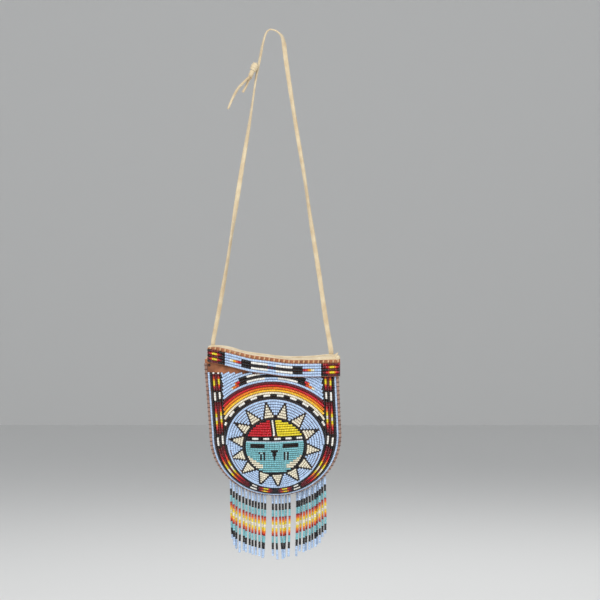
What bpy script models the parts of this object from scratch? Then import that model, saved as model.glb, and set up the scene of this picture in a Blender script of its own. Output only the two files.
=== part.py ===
"""Beaded medicine bag: a leather pouch with a lane-stitched bead front, a beaded flap, a bead
fringe and a buckskin thong to hang it by.

Metres, +Z up, the beaded front faces -Y. The origin is the hang point, just under the top of
the thong. Places on the pouch are given as (u, v): u runs across from the middle line, and v
runs up from the spring line, where the straight sides turn into the round bottom.
"""

import math

import bmesh
import bpy
from mathutils import Vector

GAP = 0.0003  # clearance between pieces that touch

# Pouch outline
STRAP_DROP = 0.2822  # hang point down to the hem's high corner
POUCH_HEIGHT = 0.1352  # the hem's high corner down to the bottom
POUCH_HALF_WIDTH = 0.0592  # at the spring line
BOTTOM_DROP = 0.0550  # spring line down to the bottom
BOTTOM_ROUNDNESS = 2.1  # 2 is an ellipse, more is squarer
MIDDLE_X = 0.0022  # the middle line at the spring line
SIDE_LEAN = 0.0595  # the middle line leans left as it rises, in metres a metre
SIDE_FLARE = 0.28  # growth of the half width, as a share of the width for each metre of rise
MOUTH_DROP = 0.0127  # the hem's high corner down to the front panel's top edge

# Leather and its crown
LEATHER = 0.0016
FRONT_BULGE = 0.0080
MOUTH_BULGE = 0.0056
BACK_BULGE = 0.0025
BACK_MOUTH_BULGE = 0.0008
SIDE_ROLL = 0.0140  # how gently the front rolls over to its sides
BOTTOM_ROLL = 0.0040  # and to its bottom
BACK_ROLL = 0.0200
CROWN_FLAT = 0.0300  # the crown is level this far in from the edge
BULGE_FROM = 0.0150  # height at which the bulge starts to go down to the mouth's

# Edge binding
BINDING_WALL = 0.0010
BINDING_FLANGE = 0.0028
BINDING_TOP_DROP = 0.0035  # front panel's top edge down to the binding's two ends

# Top hem and the thong
HEM_HALF_LENGTH = 0.0601
HEM_MIDDLE_X = 0.0002
HEM_Y = 0.0026
HEM_RADIUS = 0.0028
LACE_RADIUS = 0.0012  # the thong where the hem squeezes it
THONG_RADIUS = 0.0017  # the thong's free run
HEM_SAG = (  # share of the length, drop below the high corner
    (0.0, 0.0009),
    (0.06, 0.0),
    (0.17, 0.0013),
    (0.27, 0.0049),
    (0.40, 0.0074),
    (0.60, 0.0099),
    (0.80, 0.0095),
    (0.92, 0.0081),
    (1.0, 0.0093),
)
THONG_EXITS = (0.052, 0.933)  # shares of the hem's length
THONG_ROUTE = (  # from just above the left exit, over the hang point, to just above the right one
    (-0.0535, -0.2760),
    (-0.0500, -0.2579),
    (-0.0423, -0.2147),
    (-0.0356, -0.1715),
    (-0.0288, -0.1283),
    (-0.0216, -0.0851),
    (-0.0153, -0.0419),
    (-0.0117, -0.0240),
    (-0.0092, -0.0110),
    (-0.0065, -0.0022),
    (-0.0015, 0.0017),
    (0.0040, 0.0004),
    (0.0078, -0.0045),
    (0.0099, -0.0185),
    (0.0140, -0.0419),
    (0.0207, -0.0851),
    (0.0279, -0.1283),
    (0.0342, -0.1715),
    (0.0410, -0.2147),
    (0.0473, -0.2579),
    (0.0509, -0.2790),
)
THONG_SPACING = 0.0100
THONG_STRAIGHT = 0.0030  # how far the thong comes straight up out of the hem
KNOT_MIDDLE = (-0.0166, -0.0037, -0.0347)
KNOT_HALF_LENGTH = 0.0064
KNOT_RADIUS = 0.0024
KNOT_LEAN = 35.0  # degrees off upright, its lower end to the left
TAIL_RADIUS = 0.0011
LONG_TAIL = (
    (-0.0206, -0.0404),
    (-0.0245, -0.0452),
    (-0.0311, -0.0518),
    (-0.0361, -0.0605),
    (-0.0403, -0.0704),
)
SHORT_TAIL = ((-0.0206, -0.0404), (-0.0224, -0.0465), (-0.0250, -0.0513), (-0.0272, -0.0552))
TAIL_SPLIT = 0.0026  # how far the tails lie apart from front to back

# Beadwork on the front
LANE_UP = 0.0022  # pitch of the arcs' lanes over the sun
LANE_ACROSS = 0.0025  # and beside it
BORDER_LANE = 0.0021
BEAD_LIFT = 0.0005  # thread between the leather and the beads
BEAD_RISE = 0.0017  # height of the beads over that
VALLEY = 0.6  # height between two lanes, as a share of the rise
BEADS_TOP = 0.0117  # front panel's top edge down to the first beads
BOTTOM_SQUEEZE = 0.48  # the border's lanes seen from the front, as the bottom rolls away
BORDER_START = 0.0038  # the outer edge down to the middle of the first lane
BORDER_LANES = 5  # between the edge lane and the field
SUN_FLOOR = 0.0064  # the bottom up to the sun's ring
ARCS_ROOM = 0.0228  # the sun's ring up to the beads' top edge
RING_HALF_WIDTH = 0.0452
CHECKER_LANES = 2  # the black ring and the checker lane
RAINBOW_LANES = 5
FEATHER_START = 1  # lanes between the rainbow and the feathers
FEATHER_LANES = 3
FEATHER_HALF = 0.0290
FACE_DROP = 0.0026  # the ring's middle down to the face's
FACE_HALF_WIDTH = 0.0266
RAY_ROOM = 0.0162  # the face's top up to the ring's, over the same middle
OUTLINE_WIDTH = 0.0017
TIP_DROP = 0.0006  # the ring's middle down to the middle of the rays' tips
TIP_ROOM = 0.0042  # the tips' top up to the ring's, over the same middle
RAY_REACH = 0.0402
RAY_BASE = 0.0094
SUN_LANES = 7  # between the face and the ring
FACE_LANES = 13  # rows of beads on the face, under its brow
RAY_DIRECTIONS = (101, 74, 46, 21, -5, -31, -55, -85, -111, -141, -165, -189, -211, -233)  # degrees
BROW_HEIGHT = 0.0052  # the brow band's height
BROW_RISE = 0.0060  # the face's middle up to the brow band's
PARTING_X = 0.0001
PARTING_WIDTH = 0.0046
EYE_WIDTH = 0.0136
EYE_HEIGHT = 0.0038
EYE_APART = 0.0292
EYE_DROP = 0.0001  # the face's middle down to the eyes
MOUTH_WIDTH = 0.0073
MOUTH_HEIGHT = 0.0088
MOUTH_START = 0.0042  # the face's middle down to the mouth's top
WEDGE_DEPTH = 0.0040  # depth of the mouth's wedge over its lip
WEDGE_LIP = 0.0008
STEP = 0.0002  # width over which an edge steps up or down
THIN = 0.0008  # the least height of a field's pointed end

# Flap
FLAP_LANE = 0.00236
FLAP_LANES = 5
FLAP_LEATHER = 0.0012
FLAP_LOW = 0.0500  # height at which the flap clears the front's beads
FLAP_MARGIN = 0.0031  # the stitched margin over the flap's beads
FLAP_SAG = (  # share of the length, drop of the middle lane below the hem's high corner
    (0.0, 0.0086),
    (0.14, 0.0120),
    (0.25, 0.0153),
    (0.34, 0.0179),
    (0.45, 0.0196),
    (0.62, 0.0221),
    (0.78, 0.0223),
    (1.0, 0.0218),
)
FOLD_SETBACK = 0.0016  # the hem's top down to the fold's rear edge
END_BLOCK = 0.125  # share of the flap's length
FLAP_FEATHER = (0.26, 0.73)  # shares of the flap's length

# Fringe
STRAND_RADIUS = 0.0010
STRAND_LENGTH = 0.0525
STRAND_SIDES = 5
STRAND_NECK = 0.80  # of the radius, between two colours
STRAND_BANDS = (0.13, 0.235, 0.36, 0.67, 0.78, 0.90)  # where the colours change, as shares
STRAND_GROUPS = ((-0.0404, -0.0091, 12), (-0.0026, 0.0128, 6), (0.0194, 0.0446, 12))

SPRING_Z = -(STRAP_DROP + POUCH_HEIGHT - BOTTOM_DROP)
FRONT_TOP = POUCH_HEIGHT - BOTTOM_DROP - MOUTH_DROP
RING_HALF_HEIGHT = (FRONT_TOP - BEADS_TOP - ARCS_ROOM + BOTTOM_DROP - SUN_FLOOR) / 2
SUN_HEIGHT = SUN_FLOOR + RING_HALF_HEIGHT - BOTTOM_DROP
FACE_HEIGHT = SUN_HEIGHT - FACE_DROP
FACE_HALF_HEIGHT = RING_HALF_HEIGHT - RAY_ROOM
RAY_HEIGHT = SUN_HEIGHT - TIP_DROP
RAY_REACH_HIGH = RING_HALF_HEIGHT - TIP_ROOM
BROW_LINE = FACE_HEIGHT + BROW_RISE
PANEL_INSET = BINDING_WALL + GAP
HALF_SEAM = GAP / 2
TUNNEL_RADIUS = LACE_RADIUS + GAP

COLOURS = {
    "buckskin": (0.72, 0.58, 0.38, 0.9),
    "leather": (0.33, 0.14, 0.08, 0.7),
    "binding": (0.42, 0.24, 0.17, 0.8),
    "light_blue": (0.42, 0.58, 0.85, 0.25),
    "maroon": (0.18, 0.01, 0.03, 0.25),
    "red": (0.55, 0.01, 0.02, 0.25),
    "orange": (0.80, 0.22, 0.02, 0.25),
    "gold": (0.85, 0.55, 0.04, 0.25),
    "cream": (0.80, 0.76, 0.60, 0.3),
    "black": (0.01, 0.01, 0.012, 0.2),
    "yellow": (0.80, 0.68, 0.03, 0.25),
    "turquoise": (0.20, 0.55, 0.58, 0.25),
}


def clear_scene():
    for ob in list(bpy.data.objects):
        bpy.data.objects.remove(ob, do_unlink=True)


def new_collection(name):
    collection = bpy.data.collections.new(name)
    bpy.context.scene.collection.children.link(collection)
    return collection


def material(name):
    """The named colour as a plain material, made once."""
    if name in bpy.data.materials:
        return bpy.data.materials[name]
    made = bpy.data.materials.new(name)
    made.use_nodes = True
    shader = made.node_tree.nodes["Principled BSDF"]
    red, green, blue, rough = COLOURS[name]
    shader.inputs["Base Color"].default_value = (red, green, blue, 1)
    shader.inputs["Roughness"].default_value = rough
    shader.inputs["Metallic"].default_value = 0
    return made


def add_object(name, mesh, colour):
    """A mesh as a named object of the bag."""
    ob = bpy.data.objects.new(name, mesh)
    bpy.data.collections["beaded_medicine_bag"].objects.link(ob)
    if not mesh.materials:
        mesh.materials.append(material(colour))
    return ob


def finish_mesh(name, bm, colour):
    """The bmesh as a named object, with its faces turned outwards."""
    bmesh.ops.recalc_face_normals(bm, faces=bm.faces[:])
    mesh = bpy.data.meshes.new(name)
    bm.to_mesh(mesh)
    bm.free()
    return add_object(name, mesh, colour)


# Shapes by formula


def mix(a, b, share):
    return a + (b - a) * share


def smooth(share):
    share = min(max(share, 0.0), 1.0)
    return share * share * (3 - 2 * share)


def through(knots, at):
    """A smooth curve through (place, value) knots, read at one place."""
    last = len(knots) - 1
    i = 0
    while i < last - 1 and at > knots[i + 1][0]:
        i += 1
    (x0, y0), (x1, y1) = knots[i], knots[i + 1]
    before = knots[max(i - 1, 0)]
    after = knots[min(i + 2, last)]
    slope0 = (y1 - before[1]) / (x1 - before[0])
    slope1 = (after[1] - y0) / (after[0] - x0)
    t = (at - x0) / (x1 - x0)
    span = x1 - x0
    return (
        (2 * t**3 - 3 * t**2 + 1) * y0
        + (t**3 - 2 * t**2 + t) * span * slope0
        + (3 * t**2 - 2 * t**3) * y1
        + (t**3 - t**2) * span * slope1
    )


def place(u, v):
    """x and z of a place on the pouch."""
    rise = max(v, 0.0)
    return MIDDLE_X - SIDE_LEAN * rise + u * (1 + SIDE_FLARE * rise), SPRING_Z + v


def bottom_at(u, half_width=POUCH_HALF_WIDTH, drop=BOTTOM_DROP):
    """v of a round bottom below u."""
    share = min(abs(u) / half_width, 1.0)
    return -drop * (1 - share**BOTTOM_ROUNDNESS) ** (1 / BOTTOM_ROUNDNESS)


def from_edge(u, v):
    """How far (u, v) lies in from the outline, and how much of that edge is the bottom."""
    if v >= 0:
        return max(POUCH_HALF_WIDTH - abs(u), 0.0), 0.0
    across, down = abs(u) / POUCH_HALF_WIDTH, abs(v) / BOTTOM_DROP
    ray = (across**BOTTOM_ROUNDNESS + down**BOTTOM_ROUNDNESS) ** (1 / BOTTOM_ROUNDNESS)
    reach = math.hypot(u, v)
    return max(reach / ray - reach, 0.0), down**2 / (across**2 + down**2)


def crown(u, v, bulge, mouth_bulge, side_roll, bottom_roll):
    """How far a panel stands out from the seam."""
    inwards, share = from_edge(u, v)
    roll = mix(side_roll, bottom_roll, share)
    depth = mix(bulge, mouth_bulge, smooth((v - BULGE_FROM) / (FRONT_TOP - BULGE_FROM)))
    return depth * (1 - math.exp(-min(inwards, CROWN_FLAT) / roll))


def front_leather(u, v):
    """The front panel's outer face as a point."""
    x, z = place(u, v)
    out = HALF_SEAM + LEATHER + crown(u, v, FRONT_BULGE, MOUTH_BULGE, SIDE_ROLL, BOTTOM_ROLL)
    return Vector((x, -out, z))


def skin(u, v, height):
    """A point over the front panel's outer face, square to it."""
    step = 0.0004
    here = front_leather(u, v)
    across = front_leather(u + step, v) - front_leather(u - step, v)
    up = front_leather(u, v + step) - front_leather(u, v - step)
    return here + across.cross(up).normalized() * height


def back_leather(u, v):
    """y of the back panel's inner face."""
    return HALF_SEAM + crown(u, v, BACK_BULGE, BACK_MOUTH_BULGE, BACK_ROLL, BACK_ROLL)


def hem_x(share):
    return HEM_MIDDLE_X + HEM_HALF_LENGTH * (2 * share - 1)


def hem_top(share):
    """Height of the hem's top line."""
    return -STRAP_DROP - through(HEM_SAG, share)


def lane_line(share):
    """Height of the flap's middle lane."""
    return -STRAP_DROP - through(FLAP_SAG, share)


def flap_point(share, z, height):
    """A point over the flap's inner face, straight out from it."""
    u = hem_x(share) - MIDDLE_X + SIDE_LEAN * FLAP_LOW
    inwards = max(POUCH_HALF_WIDTH - abs(u), 0.0)
    depth = mix(FRONT_BULGE, MOUTH_BULGE, smooth((FLAP_LOW - BULGE_FROM) / (FRONT_TOP - BULGE_FROM)))
    out = depth * (1 - math.exp(-min(inwards, CROWN_FLAT) / SIDE_ROLL))
    rest = HALF_SEAM + LEATHER + out + BEAD_LIFT + BEAD_RISE + 2 * GAP
    return Vector((hem_x(share), -rest - height, z))


def inset_outline(inset, top, sides=4, turns=26):
    """Points (u, v) at an inset from the outline, from the left side's top round the bottom to
    the right side's top."""
    half = POUCH_HALF_WIDTH - inset
    drop = BOTTOM_DROP - min(inset, PANEL_INSET) - max(inset - PANEL_INSET, 0.0) * BOTTOM_SQUEEZE
    side = [(half, mix(top, 0.0, i / sides)) for i in range(sides)]
    left = [(-u, v) for u, v in side]
    round_part = []
    for i in range(turns + 1):
        angle = math.pi * i / turns
        across = abs(math.cos(angle)) ** (2 / BOTTOM_ROUNDNESS)
        u = -half * across if angle < math.pi / 2 else half * across
        v = -drop * max(math.sin(angle), 0.0) ** (2 / BOTTOM_ROUNDNESS)
        round_part.append((u, v))
    return left + round_part + side[::-1]


def ellipse_point(half_width, half_height, middle, degrees):
    angle = math.radians(degrees)
    return half_width * math.cos(angle), middle + half_height * math.sin(angle)


def smooth_route(points, spacing):
    """Evenly spaced points on a smooth curve through the given ones."""
    fine = []
    last = len(points) - 1
    for i in range(last):
        p0, p1 = Vector(points[max(i - 1, 0)]), Vector(points[i])
        p2, p3 = Vector(points[i + 1]), Vector(points[min(i + 2, last)])
        for k in range(24):
            t = k / 24
            fine.append(
                0.5
                * (
                    2 * p1
                    + (p2 - p0) * t
                    + (2 * p0 - 5 * p1 + 4 * p2 - p3) * t**2
                    + (3 * p1 - p0 - 3 * p2 + p3) * t**3
                )
            )
    fine.append(Vector(points[last]))
    lengths = [(b - a).length for a, b in zip(fine, fine[1:])]
    count = max(round(sum(lengths) / spacing), 2)
    step = sum(lengths) / count
    route = [fine[0]]
    gone, target = 0.0, step
    for a, b, length in zip(fine, fine[1:], lengths):
        while len(route) < count and gone + length >= target:
            route.append(a.lerp(b, (target - gone) / length))
            target += step
        gone += length
    route.append(fine[-1])
    return route


# Builders


def join_rings(bm, rings):
    """Closed body through rings of points."""
    made = [[bm.verts.new(point) for point in ring] for ring in rings]
    count = len(made[0])
    for ring, after in zip(made, made[1:]):
        for i in range(count):
            k = (i + 1) % count
            bm.faces.new((ring[i], ring[k], after[k], after[i]))
    bm.faces.new(made[0])
    bm.faces.new(made[-1][::-1])


def close_rings(bm, rings):
    """Closed ring-shaped body through rings of points."""
    made = [[bm.verts.new(point) for point in ring] for ring in rings]
    count = len(made[0])
    for ring, after in zip(made, made[1:] + made[:1]):
        for i in range(count):
            k = (i + 1) % count
            bm.faces.new((ring[i], ring[k], after[k], after[i]))


def lay_field(name, stations, lanes, colour, surface=skin, valley=VALLEY, closed=False):
    """A field of beads between two edges: each station is one point on either edge, and the
    lanes run from station to station."""
    backs = max(lanes // 2, 1)
    rings = []
    for first, last in stations:
        first, last = Vector(first), Vector(last)
        ring = []
        for i in range(backs + 1):
            at = first.lerp(last, i / backs)
            ring.append(surface(at.x, at.y, BEAD_LIFT))
        for i in range(2 * lanes, -1, -1):
            at = first.lerp(last, i / (2 * lanes))
            ring.append(surface(at.x, at.y, BEAD_LIFT + BEAD_RISE * (1.0 if i % 2 else valley)))
        rings.append(ring)
    bm = bmesh.new()
    if closed:
        close_rings(bm, rings)
    else:
        join_rings(bm, rings)
    return finish_mesh(name, bm, colour)


def spread(values, steps):
    """The given values with every stretch between two of them cut into equal steps."""
    made = [values[0]]
    for a, b in zip(values, values[1:]):
        made += [mix(a, b, (i + 1) / steps) for i in range(steps)]
    return made


def shell(name, surface, columns, rows, shift, colour):
    """A sheet of leather: surface(s, t) with s from -1 to 1 and t from 0 to 1, thickened by a
    shift."""
    bm = bmesh.new()
    bmesh.ops.create_grid(bm, x_segments=columns, y_segments=rows, size=1.0)
    for vert in bm.verts:
        vert.co = surface(vert.co.x, (vert.co.y + 1) / 2)
    walls = bmesh.ops.extrude_face_region(bm, geom=bm.faces[:])
    for item in walls["geom"]:
        if isinstance(item, bmesh.types.BMVert):
            item.co += Vector(shift)
    return finish_mesh(name, bm, colour)


def tube(name, routes, radius, colour, sides=2):
    """A round cord along each route, with closed ends."""
    curve = bpy.data.curves.new(name, "CURVE")
    curve.dimensions = "3D"
    curve.bevel_depth = radius
    curve.bevel_resolution = sides
    curve.use_fill_caps = True
    for route in routes:
        spline = curve.splines.new("POLY")
        spline.points.add(len(route) - 1)
        for point, where in zip(spline.points, route):
            point.co = (*where, 1)
    curve.materials.append(material(colour))
    ob = bpy.data.objects.new(name, curve)
    bpy.data.collections["beaded_medicine_bag"].objects.link(ob)
    return ob


def as_mesh(ob):
    """Turns a curve object into a mesh object of the same name, with its caps welded."""
    mesh = bpy.data.meshes.new_from_object(ob.evaluated_get(bpy.context.evaluated_depsgraph_get()))
    bm = bmesh.new()
    bm.from_mesh(mesh)
    bmesh.ops.remove_doubles(bm, verts=bm.verts[:], dist=1e-6)
    bm.to_mesh(mesh)
    bm.free()
    name, matrix, collection = ob.name, ob.matrix_world.copy(), ob.users_collection[0]
    bpy.data.objects.remove(ob, do_unlink=True)
    made = bpy.data.objects.new(name, mesh)
    made.matrix_world = matrix
    collection.objects.link(made)
    return made


def cut_with(ob, tool, cutters):
    """Takes a tool's shape out of an object."""
    for collection in list(tool.users_collection):
        collection.objects.unlink(tool)
    cutters.objects.link(tool)
    tool.hide_render = True
    tool.display_type = "WIRE"
    cut = ob.modifiers.new(tool.name, "BOOLEAN")
    cut.operation = "DIFFERENCE"
    cut.solver = "EXACT"
    cut.object = tool


# Leather pieces


def panel_grid(half_width, drop, s, t, top):
    """(u, v) of a panel's grid point: columns crowd to the sides, rows to the bottom."""
    u = half_width * math.sin(s * math.pi / 2)
    low = bottom_at(u, half_width, drop)
    return u, mix(low, top, t**1.7)


def make_front_panel():
    half, drop = POUCH_HALF_WIDTH - PANEL_INSET, BOTTOM_DROP - PANEL_INSET

    def surface(s, t):
        return front_leather(*panel_grid(half, drop, s, t, FRONT_TOP))

    return shell("front_panel", surface, 20, 11, (0, LEATHER, 0), "leather")


def make_back_panel():
    half, drop = POUCH_HALF_WIDTH - PANEL_INSET, BOTTOM_DROP - PANEL_INSET

    def surface(s, t):
        share = (math.sin(s * math.pi / 2) + 1) / 2
        top = hem_top(share) - 2 * HEM_RADIUS - GAP - SPRING_Z
        u, v = panel_grid(half, drop, s, t, top)
        x, z = place(u, v)
        above = smooth((v - FRONT_TOP) / (top - FRONT_TOP)) if top > FRONT_TOP else 0.0
        return Vector((mix(x, hem_x(share), above), back_leather(u, min(v, FRONT_TOP)) + LEATHER, z))

    return shell("back_panel", surface, 14, 8, (0, -LEATHER, 0), "buckskin")


def make_binding():
    """A folded strip that grips both panels' edges: a U-shaped channel round the outline."""
    top = FRONT_TOP - BINDING_TOP_DROP
    outer = inset_outline(0.0, top)
    wall = inset_outline(BINDING_WALL, top)
    lip = inset_outline(BINDING_FLANGE, top)
    grip = inset_outline(PANEL_INSET, top)
    rings = []
    for o, w, g, l in zip(outer, wall, grip, lip):
        (ox, oz), (wx, wz), (lx, lz) = place(*o), place(*w), place(*l)
        front = front_leather(*g).y - 1.5 * GAP
        back = back_leather(*g) + LEATHER + 1.5 * GAP
        back_lip = back_leather(*l) + LEATHER + 1.5 * GAP
        rings.append(
            [
                Vector((ox, front, oz)),
                skin(*l, 1.5 * GAP + BINDING_WALL),
                skin(*l, 1.5 * GAP),
                Vector((wx, front, wz)),
                Vector((wx, back, wz)),
                Vector((lx, back_lip, lz)),
                Vector((lx, back_lip + BINDING_WALL, lz)),
                Vector((ox, back, oz)),
            ]
        )
    bm = bmesh.new()
    join_rings(bm, rings)
    return finish_mesh("edge_binding", bm, "binding")


def hem_route(first, last, steps, drop=0.0):
    route = []
    for i in range(steps + 1):
        share = mix(first, last, i / steps)
        route.append(Vector((hem_x(share), HEM_Y, hem_top(share) - HEM_RADIUS - drop)))
    return route


def make_hem(cutters):
    """The rolled top edge, with a tunnel along it and a slot for the thong at each corner."""
    hem = as_mesh(tube("top_hem", [hem_route(0.0, 1.0, 24)], HEM_RADIUS, "buckskin"))
    bore = as_mesh(tube("hem_tunnel_cutter", [hem_route(-0.02, 1.02, 24)], TUNNEL_RADIUS, "buckskin", 1))
    tools = [bore]
    for number, share in enumerate(THONG_EXITS):
        bpy.ops.mesh.primitive_cylinder_add(vertices=12, radius=THONG_RADIUS + GAP, depth=2 * HEM_RADIUS)
        slot = bpy.context.object
        slot.name = f"thong_slot_cutter_{number + 1}"
        slot.location = (hem_x(share), HEM_Y, hem_top(share))
        tools.append(slot)
    for tool in tools:
        cut_with(hem, tool, cutters)
    return hem


def make_thong():
    """The free run of the thong, its held run in the hem, the knot and its two tails."""
    ends = []
    for share in THONG_EXITS:
        ends.append((hem_x(share), HEM_Y, hem_top(share) - HEM_RADIUS + LACE_RADIUS + GAP))
    reach = abs(min(end[2] for end in ends))
    route = []
    for x, z in THONG_ROUTE:
        route.append((x, HEM_Y * min(max(-z / reach, 0.0), 1.0), z))
    left = [ends[0], (ends[0][0], HEM_Y, ends[0][2] + THONG_STRAIGHT)]
    right = [(ends[1][0], HEM_Y, ends[1][2] + THONG_STRAIGHT), ends[1]]
    whole = left + [point for point in route if point[2] > ends[0][2] + THONG_STRAIGHT] + right
    tube("strap_thong", [smooth_route(whole, THONG_SPACING)], THONG_RADIUS, "buckskin")
    first, last = THONG_EXITS
    overhang = THONG_RADIUS / HEM_HALF_LENGTH / 2
    tube("thong_in_hem", [hem_route(first - overhang, last + overhang, 20)], LACE_RADIUS, "buckskin", 1)


def make_knot():
    bm = bmesh.new()
    bmesh.ops.create_uvsphere(bm, u_segments=10, v_segments=8, radius=1.0)
    lean = math.radians(KNOT_LEAN)
    for vert in bm.verts:
        along = vert.co.z * KNOT_HALF_LENGTH
        x, y = vert.co.x * KNOT_RADIUS, vert.co.y * KNOT_RADIUS
        vert.co = Vector(KNOT_MIDDLE) + Vector(
            (x * math.cos(lean) + along * math.sin(lean), y, along * math.cos(lean) - x * math.sin(lean))
        )
    finish_mesh("strap_knot", bm, "buckskin")
    middle_y = KNOT_MIDDLE[1]
    for name, points, side in (("long_tail", LONG_TAIL, -0.5), ("short_tail", SHORT_TAIL, 0.5)):
        route = smooth_route([(x, middle_y + side * TAIL_SPLIT, z) for x, z in points], 0.004)
        tube(name, [route], TAIL_RADIUS, "buckskin", 1)


# Beadwork on the front


def beads_top():
    return FRONT_TOP - BEADS_TOP


def border_inner():
    """Inset of the border's inner edge."""
    return BORDER_START + (BORDER_LANES + 0.5) * BORDER_LANE


def field_limit():
    """Half width of the field between the border's two sides."""
    return POUCH_HALF_WIDTH - border_inner() - GAP


def make_border():
    edge_inner = BORDER_START + BORDER_LANE / 2
    for name, outer, inner, lanes, colour in (
        ("edge_lane", BINDING_FLANGE + GAP, edge_inner - GAP, 1, "light_blue"),
        ("border_lanes", edge_inner, border_inner(), BORDER_LANES, "maroon"),
    ):
        outline = inset_outline(outer, beads_top())
        inline = inset_outline(inner, beads_top())
        stations = list(zip(outline, inline))
        lay_field(name, stations, lanes, colour)


def arc_sizes(lanes):
    """Half width and half height of the arc a number of lanes outside the sun's ring."""
    return RING_HALF_WIDTH + lanes * LANE_ACROSS, RING_HALF_HEIGHT + lanes * LANE_UP


def arc_point(lanes, limit, share):
    """A place on an arc; the share runs from where it meets the limit on the left to the right."""
    half_width, half_height = arc_sizes(lanes)
    side = math.degrees(math.acos(min(limit / half_width, 1.0)))
    return ellipse_point(half_width, half_height, SUN_HEIGHT, mix(180 - side, side, share))


def arc_stations(inner, outer, limit, steps):
    shares = [i / steps for i in range(steps + 1)]
    return [(arc_point(inner, limit, share), arc_point(outer, limit, share)) for share in shares]


def make_arcs():
    across = GAP / 2 / LANE_UP
    ring_in, ring_out = -0.5 + across, CHECKER_LANES - 0.5 - across
    stations = arc_stations(ring_in, ring_out, field_limit(), 24)
    lay_field("checker_ring", stations, CHECKER_LANES, "black")
    first, last = CHECKER_LANES - 0.5 + across, CHECKER_LANES + RAINBOW_LANES - 0.5 - across
    lay_field("rainbow_lanes", arc_stations(first, last, field_limit(), 20), RAINBOW_LANES, "gold")


def arc_height(lanes, u):
    """v of an arc over u."""
    half_width, half_height = arc_sizes(lanes)
    return SUN_HEIGHT + half_height * math.sqrt(max(1 - (u / half_width) ** 2, 0.0))


def make_upper_field():
    across = GAP / LANE_UP
    field_from = CHECKER_LANES + RAINBOW_LANES - 0.5 + across / 2
    feather_from = field_from + FEATHER_START
    feather_to = feather_from + FEATHER_LANES - across
    limit = field_limit()
    shoulder = FEATHER_HALF + 2 * GAP
    stations = []
    for u in spread([-limit, -shoulder], 3):
        stations.append(((u, arc_height(field_from, u)), (u, beads_top())))
    for u in spread([-FEATHER_HALF - GAP, FEATHER_HALF + GAP], 10):
        stations.append(((u, arc_height(field_from, u)), (u, arc_height(feather_from - across, u))))
    for u in spread([shoulder, limit], 3):
        stations.append(((u, arc_height(field_from, u)), (u, beads_top())))
    lay_field("upper_field", stations, 3, "light_blue", valley=1.0)
    feathers = []
    for u in spread([-FEATHER_HALF, FEATHER_HALF], 10):
        feathers.append(((u, arc_height(feather_from, u)), (u, min(arc_height(feather_to, u), beads_top()))))
    lay_field("upper_feathers", feathers, FEATHER_LANES, "black")


def reach(direction, inside):
    """Place where a line from the face's middle leaves a shape, given a test of being inside."""
    angle = math.radians(direction)
    aim = Vector((math.cos(angle), math.sin(angle)))
    near, far = 0.0, POUCH_HALF_WIDTH
    for _ in range(24):
        middle = (near + far) / 2
        at = Vector((0, FACE_HEIGHT)) + aim * middle
        if inside(at.x, at.y):
            near = middle
        else:
            far = middle
    return Vector((0, FACE_HEIGHT)) + aim * near


def in_ellipse(half_width, half_height, middle):
    def inside(u, v):
        return (u / half_width) ** 2 + ((v - middle) / half_height) ** 2 < 1

    return inside


def in_ground(u, v):
    """Inside the checker's black ring above, and inside the border."""
    half_width, half_height = arc_sizes(-0.5 - GAP / 2 / LANE_UP)
    if v > SUN_HEIGHT and not in_ellipse(half_width, half_height, SUN_HEIGHT)(u, v):
        return False
    if abs(u) > field_limit() - 2 * GAP:
        return False
    return v > 0 or v > ground_bottom(u)


def ground_bottom(u):
    inset = border_inner() + 3 * GAP
    drop = BOTTOM_DROP - PANEL_INSET - (inset - PANEL_INSET) * BOTTOM_SQUEEZE
    return bottom_at(u, POUCH_HALF_WIDTH - inset, drop)


def face_ellipse(grow):
    return in_ellipse(FACE_HALF_WIDTH + grow, FACE_HALF_HEIGHT + grow, FACE_HEIGHT)


def make_sun():
    """The rays with the ring that they stand on, and the ground round them."""
    tips = in_ellipse(RAY_REACH, RAY_REACH_HIGH, RAY_HEIGHT)
    outer_ring, inner_ring = face_ellipse(OUTLINE_WIDTH / 2), face_ellipse(-OUTLINE_WIDTH / 2)
    half_base = math.degrees(RAY_BASE / 2 / FACE_HALF_WIDTH)
    star = []
    for i, direction in enumerate(RAY_DIRECTIONS):
        after = RAY_DIRECTIONS[(i + 1) % len(RAY_DIRECTIONS)]
        if after > direction:
            after -= 360
        between = (direction + after) / 2
        star.append((direction + half_base, outer_ring))
        star.append((direction, tips))
        star.append((direction - half_base, outer_ring))
        star.append((between, outer_ring))
    rays, ground = [], []
    for direction, shape in star:
        point = reach(direction, shape)
        away = (point - Vector((0, FACE_HEIGHT))).normalized()
        clear = GAP * (2 if shape is tips else 1.4)
        rays.append((reach(direction, inner_ring), point))
        ground.append((point + away * clear, reach(direction, in_ground)))
    lay_field("sun_rays", rays, 2, "cream", valley=1.0, closed=True)
    lay_field("sun_ground", ground, SUN_LANES, "light_blue", closed=True)


def face_edge(u, top):
    """v of the face's edge over or under u, inside its outline."""
    inside = OUTLINE_WIDTH / 2 + GAP
    rise = (FACE_HALF_HEIGHT - inside) * math.sqrt(max(1 - (u / (FACE_HALF_WIDTH - inside)) ** 2, 0.0))
    return FACE_HEIGHT + (rise if top else -rise)


def face_half_at(v):
    """Half width of the face at a height, inside its outline."""
    inside = OUTLINE_WIDTH / 2 + GAP
    return (FACE_HALF_WIDTH - inside) * math.sqrt(1 - ((v - FACE_HEIGHT) / (FACE_HALF_HEIGHT - inside)) ** 2)


def box_stations(middle_u, middle_v, width, height, steps=2):
    low, high = middle_v - height / 2, middle_v + height / 2
    return [((u, low), (u, high)) for u in spread([middle_u - width / 2, middle_u + width / 2], steps)]


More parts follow.
